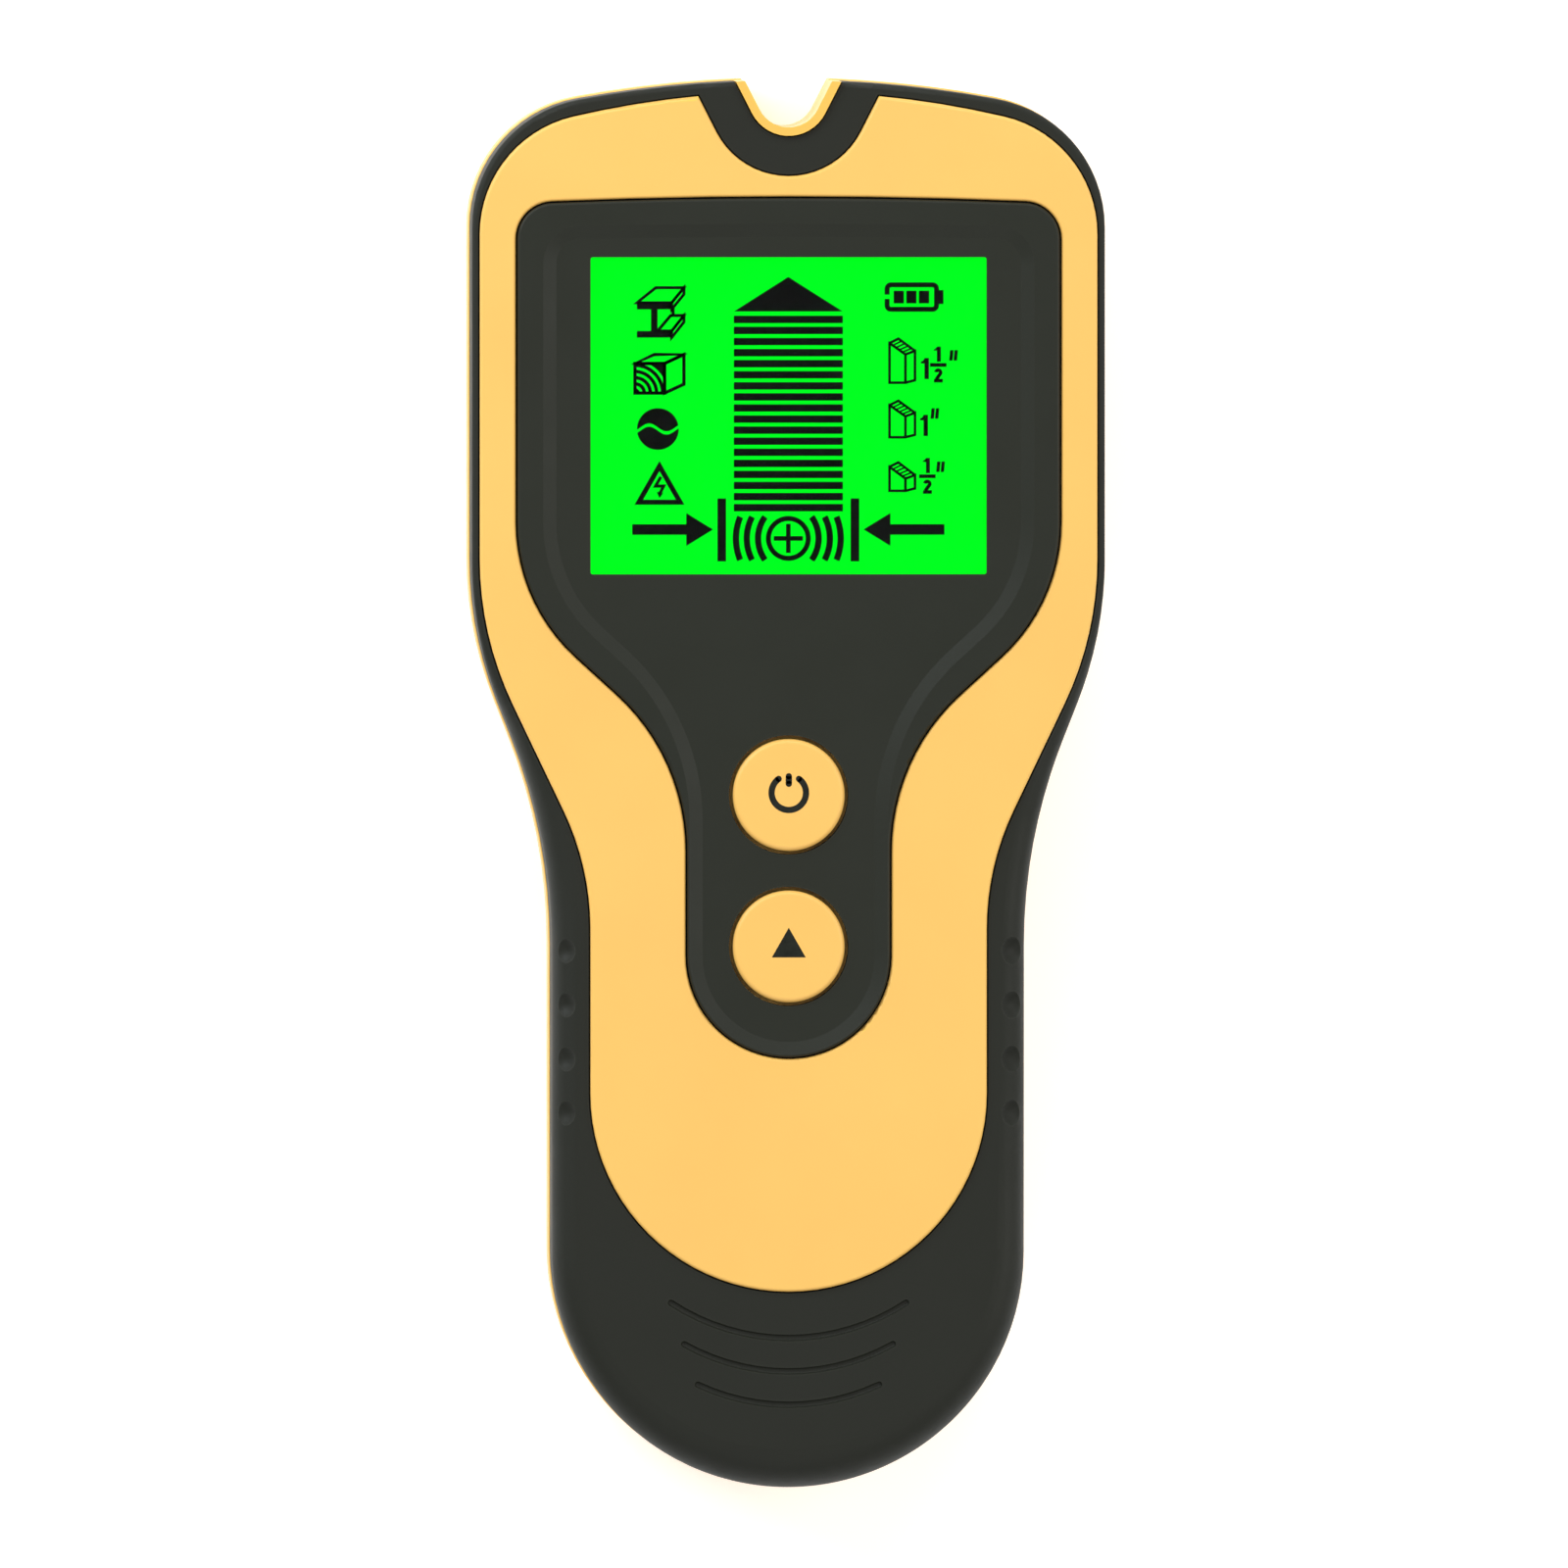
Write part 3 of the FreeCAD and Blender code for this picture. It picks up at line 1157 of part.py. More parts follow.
def snap_connector():
    """Connector plate on the battery's end, its two snap contacts and the lead tails."""
    half_x = "(Dims.battery_width / 2 - Dims.connector_side_gap)"
    half_z = "(Dims.battery_depth / 2 - Dims.connector_side_gap)"
    plate = block("connector_plate", rectangle(f"-{half_x}", half_x, CONNECTOR_TAIL, CONNECTOR_HEAD),
                  f"{BATTERY_MIDDLE} - {half_z}", f"{BATTERY_MIDDLE} + {half_z}")
    piece("snap_connector", rounded(plate, "Dims.connector_round", upright))
    stud_x = "Dims.terminal_spacing / 2"
    low = f"({BATTERY_HEAD} + Dims.snap_gap)"
    ring = snap_ring("plus_ring", f"-{stud_x}", low, CONNECTOR_TAIL)
    stud = lying_cylinder("minus_stud", stud_x, low, BATTERY_MIDDLE, "Dims.stud_radius", CONNECTOR_TAIL)
    piece("snap_contacts", group("contact_pair", [ring, stud]))
    for side, name in ((-1, "red_lead"), (1, "black_lead")):
        piece(name, battery_lead(name, f"{side} * Dims.lead_spacing / 2"))


def battery_lead(name, x):
    """A lead from the connector along the handle, then up to the underside of the board."""
    lead = doc.addObject("Part::Feature", name)
    place_x, start, turn_y, height, top, bend, radius = (value(expression) for expression in (
        x, CONNECTOR_HEAD, f"{MODE_Y} + Dims.lead_reach", BATTERY_MIDDLE, BOARD_LOW,
        "Dims.lead_bend", "Dims.lead_radius"))
    along = V(place_x, start, height)
    arc_start = V(place_x, turn_y - bend, height)
    arc_end = V(place_x, turn_y, height + bend)
    half_turn = math.radians(45)
    middle = V(place_x, turn_y - bend * (1 - math.sin(half_turn)), height + bend * (1 - math.cos(half_turn)))
    edges = [Part.LineSegment(along, arc_start).toShape(),
             Part.Arc(arc_start, middle, arc_end).toShape(),
             Part.LineSegment(arc_end, V(place_x, turn_y, top)).toShape()]
    path = Part.Wire(edges)
    section = Part.Wire(Part.makeCircle(radius, along, V(0, 1, 0)))
    lead.Shape = path.makePipeShell([section], True, False)
    lead.Placement = FreeCAD.Placement()
    expected = math.pi * radius ** 2 * path.Length
    print(name, "volume", round(lead.Shape.Volume, 2), "section x length", round(expected, 2))
    return lead


def battery_foam():
    """Foam block that keeps the battery against its connector."""
    outline = rectangle("-Dims.foam_half", "Dims.foam_half", f"{BATTERY_TAIL} - Dims.foam_thick",
                        BATTERY_TAIL)
    piece("battery_foam", block("foam_block", outline, f"{BATTERY_MIDDLE} - Dims.foam_half_height",
                                f"{BATTERY_MIDDLE} + Dims.foam_half_height"))


def battery_door():
    """Sliding door that runs on side tongues and leaves the back at the tail."""
    arch = block("door_limit", paddle(BODY_OUTLINE, "Dims.shell_step"), DOOR_LOW, DOOR_TOP)
    rounded(arch, "Dims.door_round", at_height(value(DOOR_LOW)))
    far = f"({TAIL_Y} - Dims.cut_past)"
    tongue_half = f"({DOOR_HALF} + Dims.tongue_width)"
    plate = box("door_plate", f"-{DOOR_HALF}", DOOR_HALF, far, BATTERY_HEAD, DOOR_LOW, DOOR_TOP)
    tongues = box("door_tongues", f"-{tongue_half}", tongue_half, far, BATTERY_HEAD, TONGUE_LOW, DOOR_TOP)
    body = common("door_body", [fused("door_blank", [plate, tongues]), arch])
    ridges = []
    for index in range(DOOR_RIDGES):
        y = f"({TAIL_Y} + Dims.ridge_rise + {index} * Dims.ridge_pitch)"
        ridges.append(box(f"door_ridge_{index}", "-Dims.ridge_half", "Dims.ridge_half",
                          f"{y} - Dims.ridge_width / 2", f"{y} + Dims.ridge_width / 2",
                          f"{DOOR_LOW} - Dims.cut_past", f"{DOOR_LOW} + Dims.ridge_depth"))
    piece("battery_door", cut("door_finished", body, ridges))


# ---------------------------------------------------------------- screws


def screws():
    """Case screws from the back, board screws from below and sensor board screws from above."""
    case_set = []
    for index, (x, y) in both_sides(CASE_SCREWS):
        case_set.append(screw(f"case_screw_{index}", x, y, "(Dims.case_seat - Dims.case_screw_head_thick)",
                              "Dims.case_seat", "(Dims.case_seat - Dims.boss_bury)",
                              f"({PARTING} + Dims.case_screw_bite)", "Dims.case_screw_radius",
                              "Dims.case_screw_head", "(Dims.case_seat - Dims.case_screw_head_thick)"))
    piece("case_screws", group("case_screw_set", case_set))
    board_set = []
    head_low = f"({BOARD_LOW} - Dims.board_screw_head_thick)"
    for index, (x, y) in both_sides(BOARD_SCREWS):
        board_set.append(screw(f"board_screw_{index}", x, y, head_low, BOARD_LOW,
                               f"({BOARD_LOW} - Dims.boss_bury)",
                               f"({BOARD_TOP} + Dims.board_screw_bite)", "Dims.board_screw_radius",
                               "Dims.board_screw_head", head_low))
    piece("board_screws", group("board_screw_set", board_set))
    sensor_set = []
    head_high = f"({SENSOR_TOP} + Dims.board_screw_head_thick)"
    for index, (x, y) in both_sides(SENSOR_SCREWS):
        sensor_set.append(screw(f"sensor_screw_{index}", x, y, SENSOR_TOP, head_high, FLOOR,
                                f"({SENSOR_TOP} + Dims.boss_bury)", "Dims.board_screw_radius",
                                "Dims.board_screw_head",
                                f"({head_high} - Dims.board_screw_head_thick * Dims.cross_share)"))
    piece("sensor_screws", group("sensor_screw_set", sensor_set))


# ---------------------------------------------------------------- assembly

front_shell()
rear_shell()
face_panel()
display_fascia()
display_lens()
display_stack()
main_board()
sensor_board()
board_parts()
for button_name, button_y in BUTTONS:
    button(button_name, button_y)
    tact_switch(button_name, button_y)
battery()
snap_connector()
battery_foam()
battery_door()
screws()
glide_pads()
doc.recompute()

failed = [item.Label for item in doc.Objects if {"Invalid", "Error"} & set(item.State)]
if failed:
    raise RuntimeError(f"these did not recompute: {failed}")
for item in pieces:
    if item.Shape.isNull() or not item.Shape.isValid() or item.Shape.Volume <= 0:
        raise RuntimeError(f"{item.Label} has no valid solid")
os.makedirs("parts", exist_ok=True)
for item in pieces:
    item.Shape.exportStep(f"parts/{item.Label}.step")
    box_size = item.Shape.BoundBox
    print(f"{item.Label}: {len(item.Shape.Solids)} solids, {item.Shape.Volume:.1f} mm3, "
          f"z {box_size.ZMin:.2f} to {box_size.ZMax:.2f}")
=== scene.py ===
"""Looks of the hand-held stud finder: materials, printed symbols, the lit display and the studio."""
import math

import bmesh
import bpy
from mathutils import Matrix, Vector


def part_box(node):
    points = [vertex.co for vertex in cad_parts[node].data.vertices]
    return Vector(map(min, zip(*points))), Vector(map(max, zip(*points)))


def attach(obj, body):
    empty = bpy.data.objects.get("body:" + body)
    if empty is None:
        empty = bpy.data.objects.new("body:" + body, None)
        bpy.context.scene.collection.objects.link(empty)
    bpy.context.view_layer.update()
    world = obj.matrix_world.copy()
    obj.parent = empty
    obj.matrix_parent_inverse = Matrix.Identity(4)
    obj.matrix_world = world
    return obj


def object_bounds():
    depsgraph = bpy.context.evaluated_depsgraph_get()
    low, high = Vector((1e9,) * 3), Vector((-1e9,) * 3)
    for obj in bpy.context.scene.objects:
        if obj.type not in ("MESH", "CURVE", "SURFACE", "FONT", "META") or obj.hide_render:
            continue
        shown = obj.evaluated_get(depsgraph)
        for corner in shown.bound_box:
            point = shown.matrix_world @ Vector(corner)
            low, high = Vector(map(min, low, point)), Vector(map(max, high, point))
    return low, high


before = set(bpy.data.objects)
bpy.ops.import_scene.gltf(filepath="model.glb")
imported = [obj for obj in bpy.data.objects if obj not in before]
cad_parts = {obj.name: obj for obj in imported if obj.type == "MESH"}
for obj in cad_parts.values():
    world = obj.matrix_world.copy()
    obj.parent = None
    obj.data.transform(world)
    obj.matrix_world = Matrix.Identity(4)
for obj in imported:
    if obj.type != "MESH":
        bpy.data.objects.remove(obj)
CAD_LOW, CAD_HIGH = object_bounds()
MM = 0.001

# ---------------------------------------------------------------- camera

VIEW_SPAN = 0.167          # height of the picture at the middle of the object, in metres
VIEW_DISTANCE = 6.0
LEAN_LEFT = math.radians(1.4)
LEAN_UP = math.radians(1.2)
AIM_LEFT = 0.18 * MM       # from the middle of the object's width
AIM_DOWN = 0.20 * MM       # from the frame's origin, along the length


def make_camera():
    """A long lens almost straight above the face, a little towards the upper left."""
    middle = (CAD_LOW + CAD_HIGH) / 2
    target = Vector((middle.x - AIM_LEFT, -AIM_DOWN, middle.z))
    back = Vector((-math.tan(LEAN_LEFT), math.tan(LEAN_UP), 1)).normalized()
    right = Vector((0, 1, 0)).cross(back).normalized()
    up = back.cross(right)
    axes = Matrix((right, up, back)).transposed().to_4x4()
    data = bpy.data.cameras.new("camera")
    data.lens = data.sensor_width * VIEW_DISTANCE / VIEW_SPAN
    data.clip_start = 0.1
    data.clip_end = 50
    camera = bpy.data.objects.new("camera", data)
    bpy.context.scene.collection.objects.link(camera)
    camera.matrix_world = Matrix.Translation(target + back * VIEW_DISTANCE) @ axes
    bpy.context.scene.camera = camera


make_camera()

# ---------------------------------------------------------------- material helpers


def tint(colour, factor):
    """A colour made darker or lighter by a factor."""
    return tuple(min(1.0, channel * factor) for channel in colour)


class Tree:
    """A short way to write a material's nodes."""

    def __init__(self, name):
        self.material = bpy.data.materials.new(name)
        self.material.use_nodes = True
        self.nodes = self.material.node_tree.nodes
        self.links = self.material.node_tree.links
        self.shader = self.nodes["Principled BSDF"]
        self.place = self.add("ShaderNodeTexCoord").outputs["Object"]

    def add(self, kind, inputs=(), **settings):
        """Make a node: settings are its own properties, inputs are socket values or outputs to link."""
        node = self.nodes.new(kind)
        for key, value in settings.items():
            setattr(node, key, value)
        for key, value in dict(inputs).items():
            if isinstance(value, bpy.types.NodeSocket):
                self.links.new(value, node.inputs[key])
            else:
                node.inputs[key].default_value = value
        return node

    def set(self, **values):
        """Give the shader's own sockets constant values; underscores stand for spaces."""
        for key, value in values.items():
            self.shader.inputs[key.replace("_", " ")].default_value = value

    def drive(self, socket, output):
        """Link a pattern or a colour to one of the shader's sockets."""
        self.links.new(output, self.shader.inputs[socket])

    def scaled(self, x, y, z):
        """The object's own coordinates, multiplied along each axis."""
        return self.add("ShaderNodeMapping", {"Vector": self.place, "Scale": (x, y, z)}).outputs[0]

    def noise(self, scale, detail=3.0, roughness=0.55, vector=None):
        """Noise with features of about 1 / scale, in metres unless another vector is given."""
        inputs = {"Vector": vector or self.place, "Scale": scale, "Detail": detail,
                  "Roughness": roughness}
        return self.add("ShaderNodeTexNoise", inputs).outputs["Fac"]

    def cells(self, scale):
        """Distance to the nearest of scattered points, about 1 / scale metres apart."""
        inputs = {"Vector": self.place, "Scale": scale}
        return self.add("ShaderNodeTexVoronoi", inputs, feature="F1").outputs["Distance"]

    def spread(self, value, low, high, from_low=0.3, from_high=0.7):
        """Stretch a pattern to run from low to high."""
        inputs = {"Value": value, "From Min": from_low, "From Max": from_high,
                  "To Min": low, "To Max": high}
        return self.add("ShaderNodeMapRange", inputs).outputs["Result"]

    def math(self, operation, first, second):
        """One step of arithmetic on two values or patterns."""
        return self.add("ShaderNodeMath", {0: first, 1: second}, operation=operation).outputs[0]

    def blend(self, factor, first, second):
        """Blend two colours by a pattern. A mix node takes colours at inputs 6 and 7 and gives output 2."""
        node = self.add("ShaderNodeMix", {"Factor": factor}, data_type="RGBA")
        for socket, value in ((node.inputs[6], first), (node.inputs[7], second)):
            if isinstance(value, bpy.types.NodeSocket):
                self.links.new(value, socket)
            else:
                socket.default_value = (*value, 1)
        return node.outputs[2]

    def mottle(self, pattern, colour, dark, light, **reach):
        """A colour that a pattern varies between two tints of it."""
        return self.blend(self.spread(pattern, 0, 1, **reach), tint(colour, dark), tint(colour, light))

    def edges(self, radius):
        """A mask that is 1 on sharp edges and 0 on flats, from how far a bevel would turn the surface."""
        bevel = self.add("ShaderNodeBevel", {"Radius": radius}, samples=4).outputs[0]
        normal = self.add("ShaderNodeNewGeometry").outputs["Normal"]
        turn = self.add("ShaderNodeVectorMath", {0: bevel, 1: normal}, operation="DOT_PRODUCT")
        return self.spread(turn.outputs["Value"], 1.0, 0.0, from_low=0.80, from_high=0.995)

    def bump(self, height, depth):
        """Relief of a pattern, with its depth in metres."""
        node = self.add("ShaderNodeBump", {"Height": height, "Distance": depth, "Strength": 1.0})
        self.drive("Normal", node.outputs[0])


def moulded(name, colour, roughness, grain=1500, depth=6e-6, highlight_tint=1.12, rim=None, **constants):
    """Moulded plastic: fine spark-eroded grain, slow colour drift, and a painted highlight in a lighter
    colour on the edges, broken into patches.
    """
    tree = Tree(name)
    base = tree.mottle(tree.noise(scale=38, detail=4), colour, dark=0.965, light=1.02)
    # Painted highlight: sharp edges get a lighter colour in patches, in place of light caught on the
    # rounded edges; the same mask also makes them a little glossier.
    highlight_edges = tree.edges(radius=0.35 * MM)
    patches = tree.spread(tree.noise(scale=420), low=0.35, high=1.0)
    painted_highlight = tree.math("MULTIPLY", highlight_edges, patches)
    tree.drive("Base Color", tree.blend(painted_highlight, base, rim or tint(colour, highlight_tint)))
    gloss = tree.spread(tree.noise(scale=95, detail=5), roughness - 0.05, roughness + 0.06)
    polish = tree.math("MULTIPLY", painted_highlight, 0.1)
    tree.drive("Roughness", tree.math("SUBTRACT", gloss, polish))
    fine = tree.noise(grain, detail=2, roughness=0.6)
    pits = tree.math("MULTIPLY", tree.cells(grain * 1.7), 0.5)
    tree.bump(tree.math("ADD", fine, pits), depth)
    tree.set(**constants)
    return tree.material


def lit_display():
    """Green backlit glass: an even light of its own, with a faint slow drift."""
    deep, bright = (0.0, 0.90, 0.008), (0.0, 1.0, 0.010)
    tree = Tree("lcd_green")
    drift = tree.noise(scale=60, detail=2)
    tree.drive("Emission Color", tree.blend(tree.spread(drift, 0, 1), deep, bright))
    tree.set(Emission_Strength=1.02, Roughness=0.4, Base_Color=(0.0, 0.10, 0.004, 1),
             Specular_IOR_Level=0.0)
    tree.bump(tree.noise(scale=900, detail=2), depth=1e-6)
    return tree.material


def clear_acrylic():
    """Clear window. Its index is far below acrylic's 1.49, so that it lays no haze over the display."""
    tree = Tree("clear_acrylic")
    tree.set(Base_Color=(0.99, 1.0, 0.995, 1), Transmission_Weight=1.0, IOR=1.08)
    smears = tree.noise(scale=140, detail=5)
    tree.drive("Roughness", tree.spread(smears, 0.01, 0.035, from_low=0.35, from_high=0.75))
    return tree.material


def metal(name, colour, roughness, scratch=(30, 2200, 300)):
    """Metal with fine drawn lines and patches of different polish."""
    tree = Tree(name)
    lines = tree.noise(1, detail=4, roughness=0.6, vector=tree.scaled(*scratch))
    tree.drive("Base Color", tree.mottle(lines, colour, dark=0.86, light=1.06))
    patches = tree.noise(scale=250, detail=4)
    tree.drive("Roughness", tree.spread(patches, roughness - 0.08, roughness + 0.12))
    tree.set(Metallic=1.0)
    tree.bump(lines, depth=1.5e-6)
    return tree.material


def circuit_board():
    """Green solder mask with a faint raised grid of tracks under it."""
    black, white = (0, 0, 0, 1), (1, 1, 1, 1)
    dark, light, over_track = (0.012, 0.115, 0.035), (0.020, 0.150, 0.048), (0.035, 0.235, 0.080)
    tree = Tree("solder_mask")
    bricks = {"Vector": tree.place, "Scale": 260.0, "Mortar Size": 0.06,
              "Color1": black, "Color2": black, "Mortar": white}
    tracks = tree.add("ShaderNodeTexBrick", bricks).outputs["Color"]
    weave = tree.noise(scale=1800)
    mask = tree.blend(tree.spread(weave, 0, 1), dark, light)
    tree.drive("Base Color", tree.blend(tracks, mask, over_track))
    tree.drive("Roughness", tree.spread(weave, 0.28, 0.42))
    tree.bump(tracks, depth=1.2e-5)
    return tree.material


def fibres(name, colour, scale=1400, depth=6e-5):
    """Felt, foam or rubber: a tangle of short fibres or cells."""
    reach = {"from_low": 0.4, "from_high": 1.1}
    tree = Tree(name)
    strands = tree.noise(scale, detail=6, roughness=0.7)
    tangle = tree.math("ADD", strands, tree.math("MULTIPLY", tree.cells(scale), 0.6))
    tree.drive("Base Color", tree.mottle(tangle, colour, dark=0.6, light=1.5, **reach))
    tree.drive("Roughness", tree.spread(tangle, 0.85, 1.0, **reach))
    tree.set(Sheen_Weight=0.35, Sheen_Roughness=0.6)
    tree.bump(tangle, depth)
    return tree.material


def battery_jacket():
    """Plain two-tone battery jacket with a fine printed grain."""
    graphite, bronze, grey = (0.030, 0.032, 0.036), (0.42, 0.28, 0.10), (0.30, 0.30, 0.30)
    band, blur = 12.2 * MM, 0.2 * MM
    tree = Tree("battery_jacket")
    along = tree.add("ShaderNodeSeparateXYZ", {0: tree.place}).outputs["Y"]
    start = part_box("battery")[1].y - band
    share = tree.spread(along, 0, 1, from_low=start, from_high=start + blur)
    base = tree.blend(share, graphite, bronze)
    speck = tree.spread(tree.noise(scale=2600, detail=2), 0, 0.25)
    tree.drive("Base Color", tree.blend(speck, base, grey))
    tree.drive("Roughness", tree.spread(tree.noise(scale=160, detail=4), 0.22, 0.36))
    tree.set(Metallic=0.35)
    tree.bump(tree.noise(scale=700), depth=3e-6)
    return tree.material


# ---------------------------------------------------------------- materials on the CAD nodes

YELLOW = (0.960, 0.545, 0.095)
PANEL_YELLOW = (0.975, 0.562, 0.133)
# Colour of the painted highlight along the edges of the yellow panel and the buttons.
RIM_HIGHLIGHT_YELLOW = (1.0, 0.76, 0.060)
CHARCOAL = (0.0150, 0.0173, 0.0108)
SHELL_CHARCOAL = (0.0148, 0.0162, 0.0112)

SHELL_YELLOW = moulded("yellow_shell", YELLOW, 0.36, depth=4e-6, Coat_Weight=0.15, Coat_Roughness=0.25)
# Each moulded part has its edges painted lighter as a highlight; the charcoal and black parts are painted
# 1.7 to 2 times lighter there.
MATERIALS = {
    "front_shell": moulded("charcoal_shell", SHELL_CHARCOAL, 0.55, grain=1300, depth=9e-6,
                           highlight_tint=1.9, Specular_IOR_Level=0.27),
    "rear_shell": SHELL_YELLOW,
    "battery_door": SHELL_YELLOW,
    "face_panel": moulded("yellow_panel", PANEL_YELLOW, 0.46, depth=3e-6, rim=RIM_HIGHLIGHT_YELLOW),
    "display_fascia": moulded("charcoal_fascia", CHARCOAL, 0.50, grain=1700, depth=7e-6, highlight_tint=1.7,
                              Specular_IOR_Level=0.30),
    "display_lens": clear_acrylic(),
    "lcd_glass": lit_display(),
    "power_button": moulded("button_yellow", PANEL_YELLOW, 0.42, depth=2e-6, rim=RIM_HIGHLIGHT_YELLOW),
    "lcd_frame": moulded("white_frame", (0.78, 0.78, 0.76), 0.45),
    "backlight": moulded("light_guide", (0.80, 0.92, 0.80), 0.3),
    "contact_strips": fibres("zebra_rubber", (0.20, 0.20, 0.21), scale=900, depth=1e-5),
    "main_board": circuit_board(),
    "sensor_plates": metal("bare_copper", (0.86, 0.42, 0.25), 0.34),
    "header_pins": metal("gold_pins", (0.90, 0.66, 0.28), 0.25),
    "header_block": moulded("black_moulding", (0.018, 0.018, 0.018), 0.45, highlight_tint=2.0),
    "capacitors": metal("aluminium_cans", (0.78, 0.79, 0.80), 0.3),
    "battery": battery_jacket(),
    "battery_terminals": metal("nickel", (0.72, 0.70, 0.66), 0.24),
    "red_lead": moulded("red_wire", (0.55, 0.015, 0.012), 0.38, grain=2500),
    "black_lead": moulded("black_wire", (0.014, 0.014, 0.014), 0.38, grain=2500),
    "battery_foam": fibres("foam", (0.07, 0.07, 0.075), scale=1100, depth=8e-5),
    "case_screws": metal("zinc_steel", (0.62, 0.63, 0.64), 0.30, scratch=(900, 900, 200)),
    "glide_pads": fibres("wool_felt", (0.055, 0.055, 0.060)),
}
SHARED = {
    "mode_button": "power_button",
    "sensor_board": "main_board",
    "metal_coil": "sensor_plates",
    "controller_chip": "header_block",
    "buzzer": "header_block",
    "power_switch": "header_block",
    "mode_switch": "header_block",
    "snap_connector": "header_block",
    "power_plunger": "lcd_frame",
    "mode_plunger": "lcd_frame",
    "snap_contacts": "battery_terminals",
    "board_screws": "case_screws",
    "sensor_screws": "case_screws",
}


def dress_nodes():
    """Give every CAD node its own material, or that of the node it shares one with."""
    for name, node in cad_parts.items():
        material = MATERIALS.get(name) or MATERIALS[SHARED[name]]
        node.data.materials.clear()
        node.data.materials.append(material)


dress_nodes()

# ---------------------------------------------------------------- flat shapes for ink and display segments

FILM = 0.02 * MM           # thickness of the printed marks and the display segments
SHARPEST = 0.35            # keeps the mitre of a sharp corner from running out too far
ROUND_STEPS = 5
DISC_STEPS = 20


class Ink:
    """Collects flat closed slabs in one mesh. Places are millimetres from an origin on a face."""

    def __init__(self, origin):
        self.mesh = bmesh.new()
        self.origin = origin

    def _rows(self, points):
        """The lower and the upper vertices over a list of points."""
        low = [self.mesh.verts.new(self.origin + Vector((x, y, 0)) * MM) for x, y in points]
        lift = Vector((0, 0, FILM))
        high = [self.mesh.verts.new(self.origin + Vector((x, y, 0)) * MM + lift) for x, y in points]
        return low, high

    def area(self, points):
        """A filled simple outline."""
        low, high = self._rows(points)
        count = len(points)
        self.mesh.faces.new(high)
        self.mesh.faces.new(low[::-1])
        for index in range(count):
            after = (index + 1) % count
            self.mesh.faces.new((low[index], low[after], high[after], high[index]))

    def box(self, left, right, low, high):
        """A filled rectangle."""
        self.area([(left, low), (right, low), (right, high), (left, high)])

    def disc(self, x, y, radius):
        """A filled circle."""
        turn = 2 * math.pi / DISC_STEPS
        self.area([(x + radius * math.cos(turn * index), y + radius * math.sin(turn * index))
                   for index in range(DISC_STEPS)])

    def band(self, left, right, closed=False):
        """A slab between two lines of points that run side by side."""
        left_low, left_high = self._rows(left)
        right_low, right_high = self._rows(right)
        count = len(left)
        for index in range(count if closed else count - 1):
            after = (index + 1) % count
            self.mesh.faces.new((left_high[index], right_high[index], right_high[after], left_high[after]))
            self.mesh.faces.new((left_low[after], right_low[after], right_low[index], left_low[index]))
            self.mesh.faces.new((left_low[index], left_high[index], left_high[after], left_low[after]))
            self.mesh.faces.new((right_low[after], right_high[after], right_high[index], right_low[index]))
        if not closed:
            self.mesh.faces.new((left_low[0], right_low[0], right_high[0], left_high[0]))
            self.mesh.faces.new((left_high[-1], right_high[-1], right_low[-1], left_low[-1]))

    def arc(self, x, y, radius, width, start, end, steps):
        """Part of a ring between two angles in degrees; a full turn is closed."""
        full = abs(end - start) >= 360
        rows = ([], [])
        for index in range(steps if full else steps + 1):
            angle = math.radians(start + (end - start) * index / steps)
            for row, reach in zip(rows, (radius - width / 2, radius + width / 2)):
                row.append((x + reach * math.cos(angle), y + reach * math.sin(angle)))
        self.band(*rows, closed=full)

    def stroke(self, points, width, closed=False):
        """A line of even width with mitred corners."""
        path = [Vector(point) for point in points]
        count = len(path)
        sides = ([], [])
        for index, point in enumerate(path):
            before = path[index - 1] if index or closed else None
            after = path[(index + 1) % count] if index < count - 1 or closed else None
            into = (point - before).normalized() if before is not None else None
            out = (after - point).normalized() if after is not None else None
            into, out = into or out, out or into
            normal = Vector((-into.y - out.y, into.x + out.x)).normalized()
            reach = width / 2 / max(SHARPEST, normal.dot(Vector((-out.y, out.x))))
            sides[0].append(tuple(point + normal * reach))
            sides[1].append(tuple(point - normal * reach))
        self.band(*sides, closed=closed)

    def outline(self, points, width):
        """A closed line of even width."""
        self.stroke(points, width, closed=True)

    def bent(self, points, radius, width):
        """An open line of even width whose corners are round."""
        corners = [Vector(point) for point in points]
        path = [corners[0]]
        for before, corner, after in zip(corners, corners[1:], corners[2:]):
            back = (before - corner).normalized()
            onward = (after - corner).normalized()
            half = back.angle(onward) / 2
            centre = corner + (back + onward).normalized() * radius / math.sin(half)
            start = corner + back * radius / math.tan(half) - centre
            end = corner + onward * radius / math.tan(half) - centre
            for step in range(ROUND_STEPS + 1):
                path.append(centre + start.lerp(end, step / ROUND_STEPS).normalized() * radius)
        path.append(corners[-1])
        self.stroke(path, width)

    def finish(self, name, material, body):
        """Make the collected slabs one piece that rides on a body."""
        bmesh.ops.recalc_face_normals(self.mesh, faces=self.mesh.faces)
        data = bpy.data.meshes.new(name)
        self.mesh.to_mesh(data)
        self.mesh.free()
        piece = bpy.data.objects.new(name, data)
        bpy.context.scene.collection.objects.link(piece)
        data.materials.append(material)
        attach(piece, body)


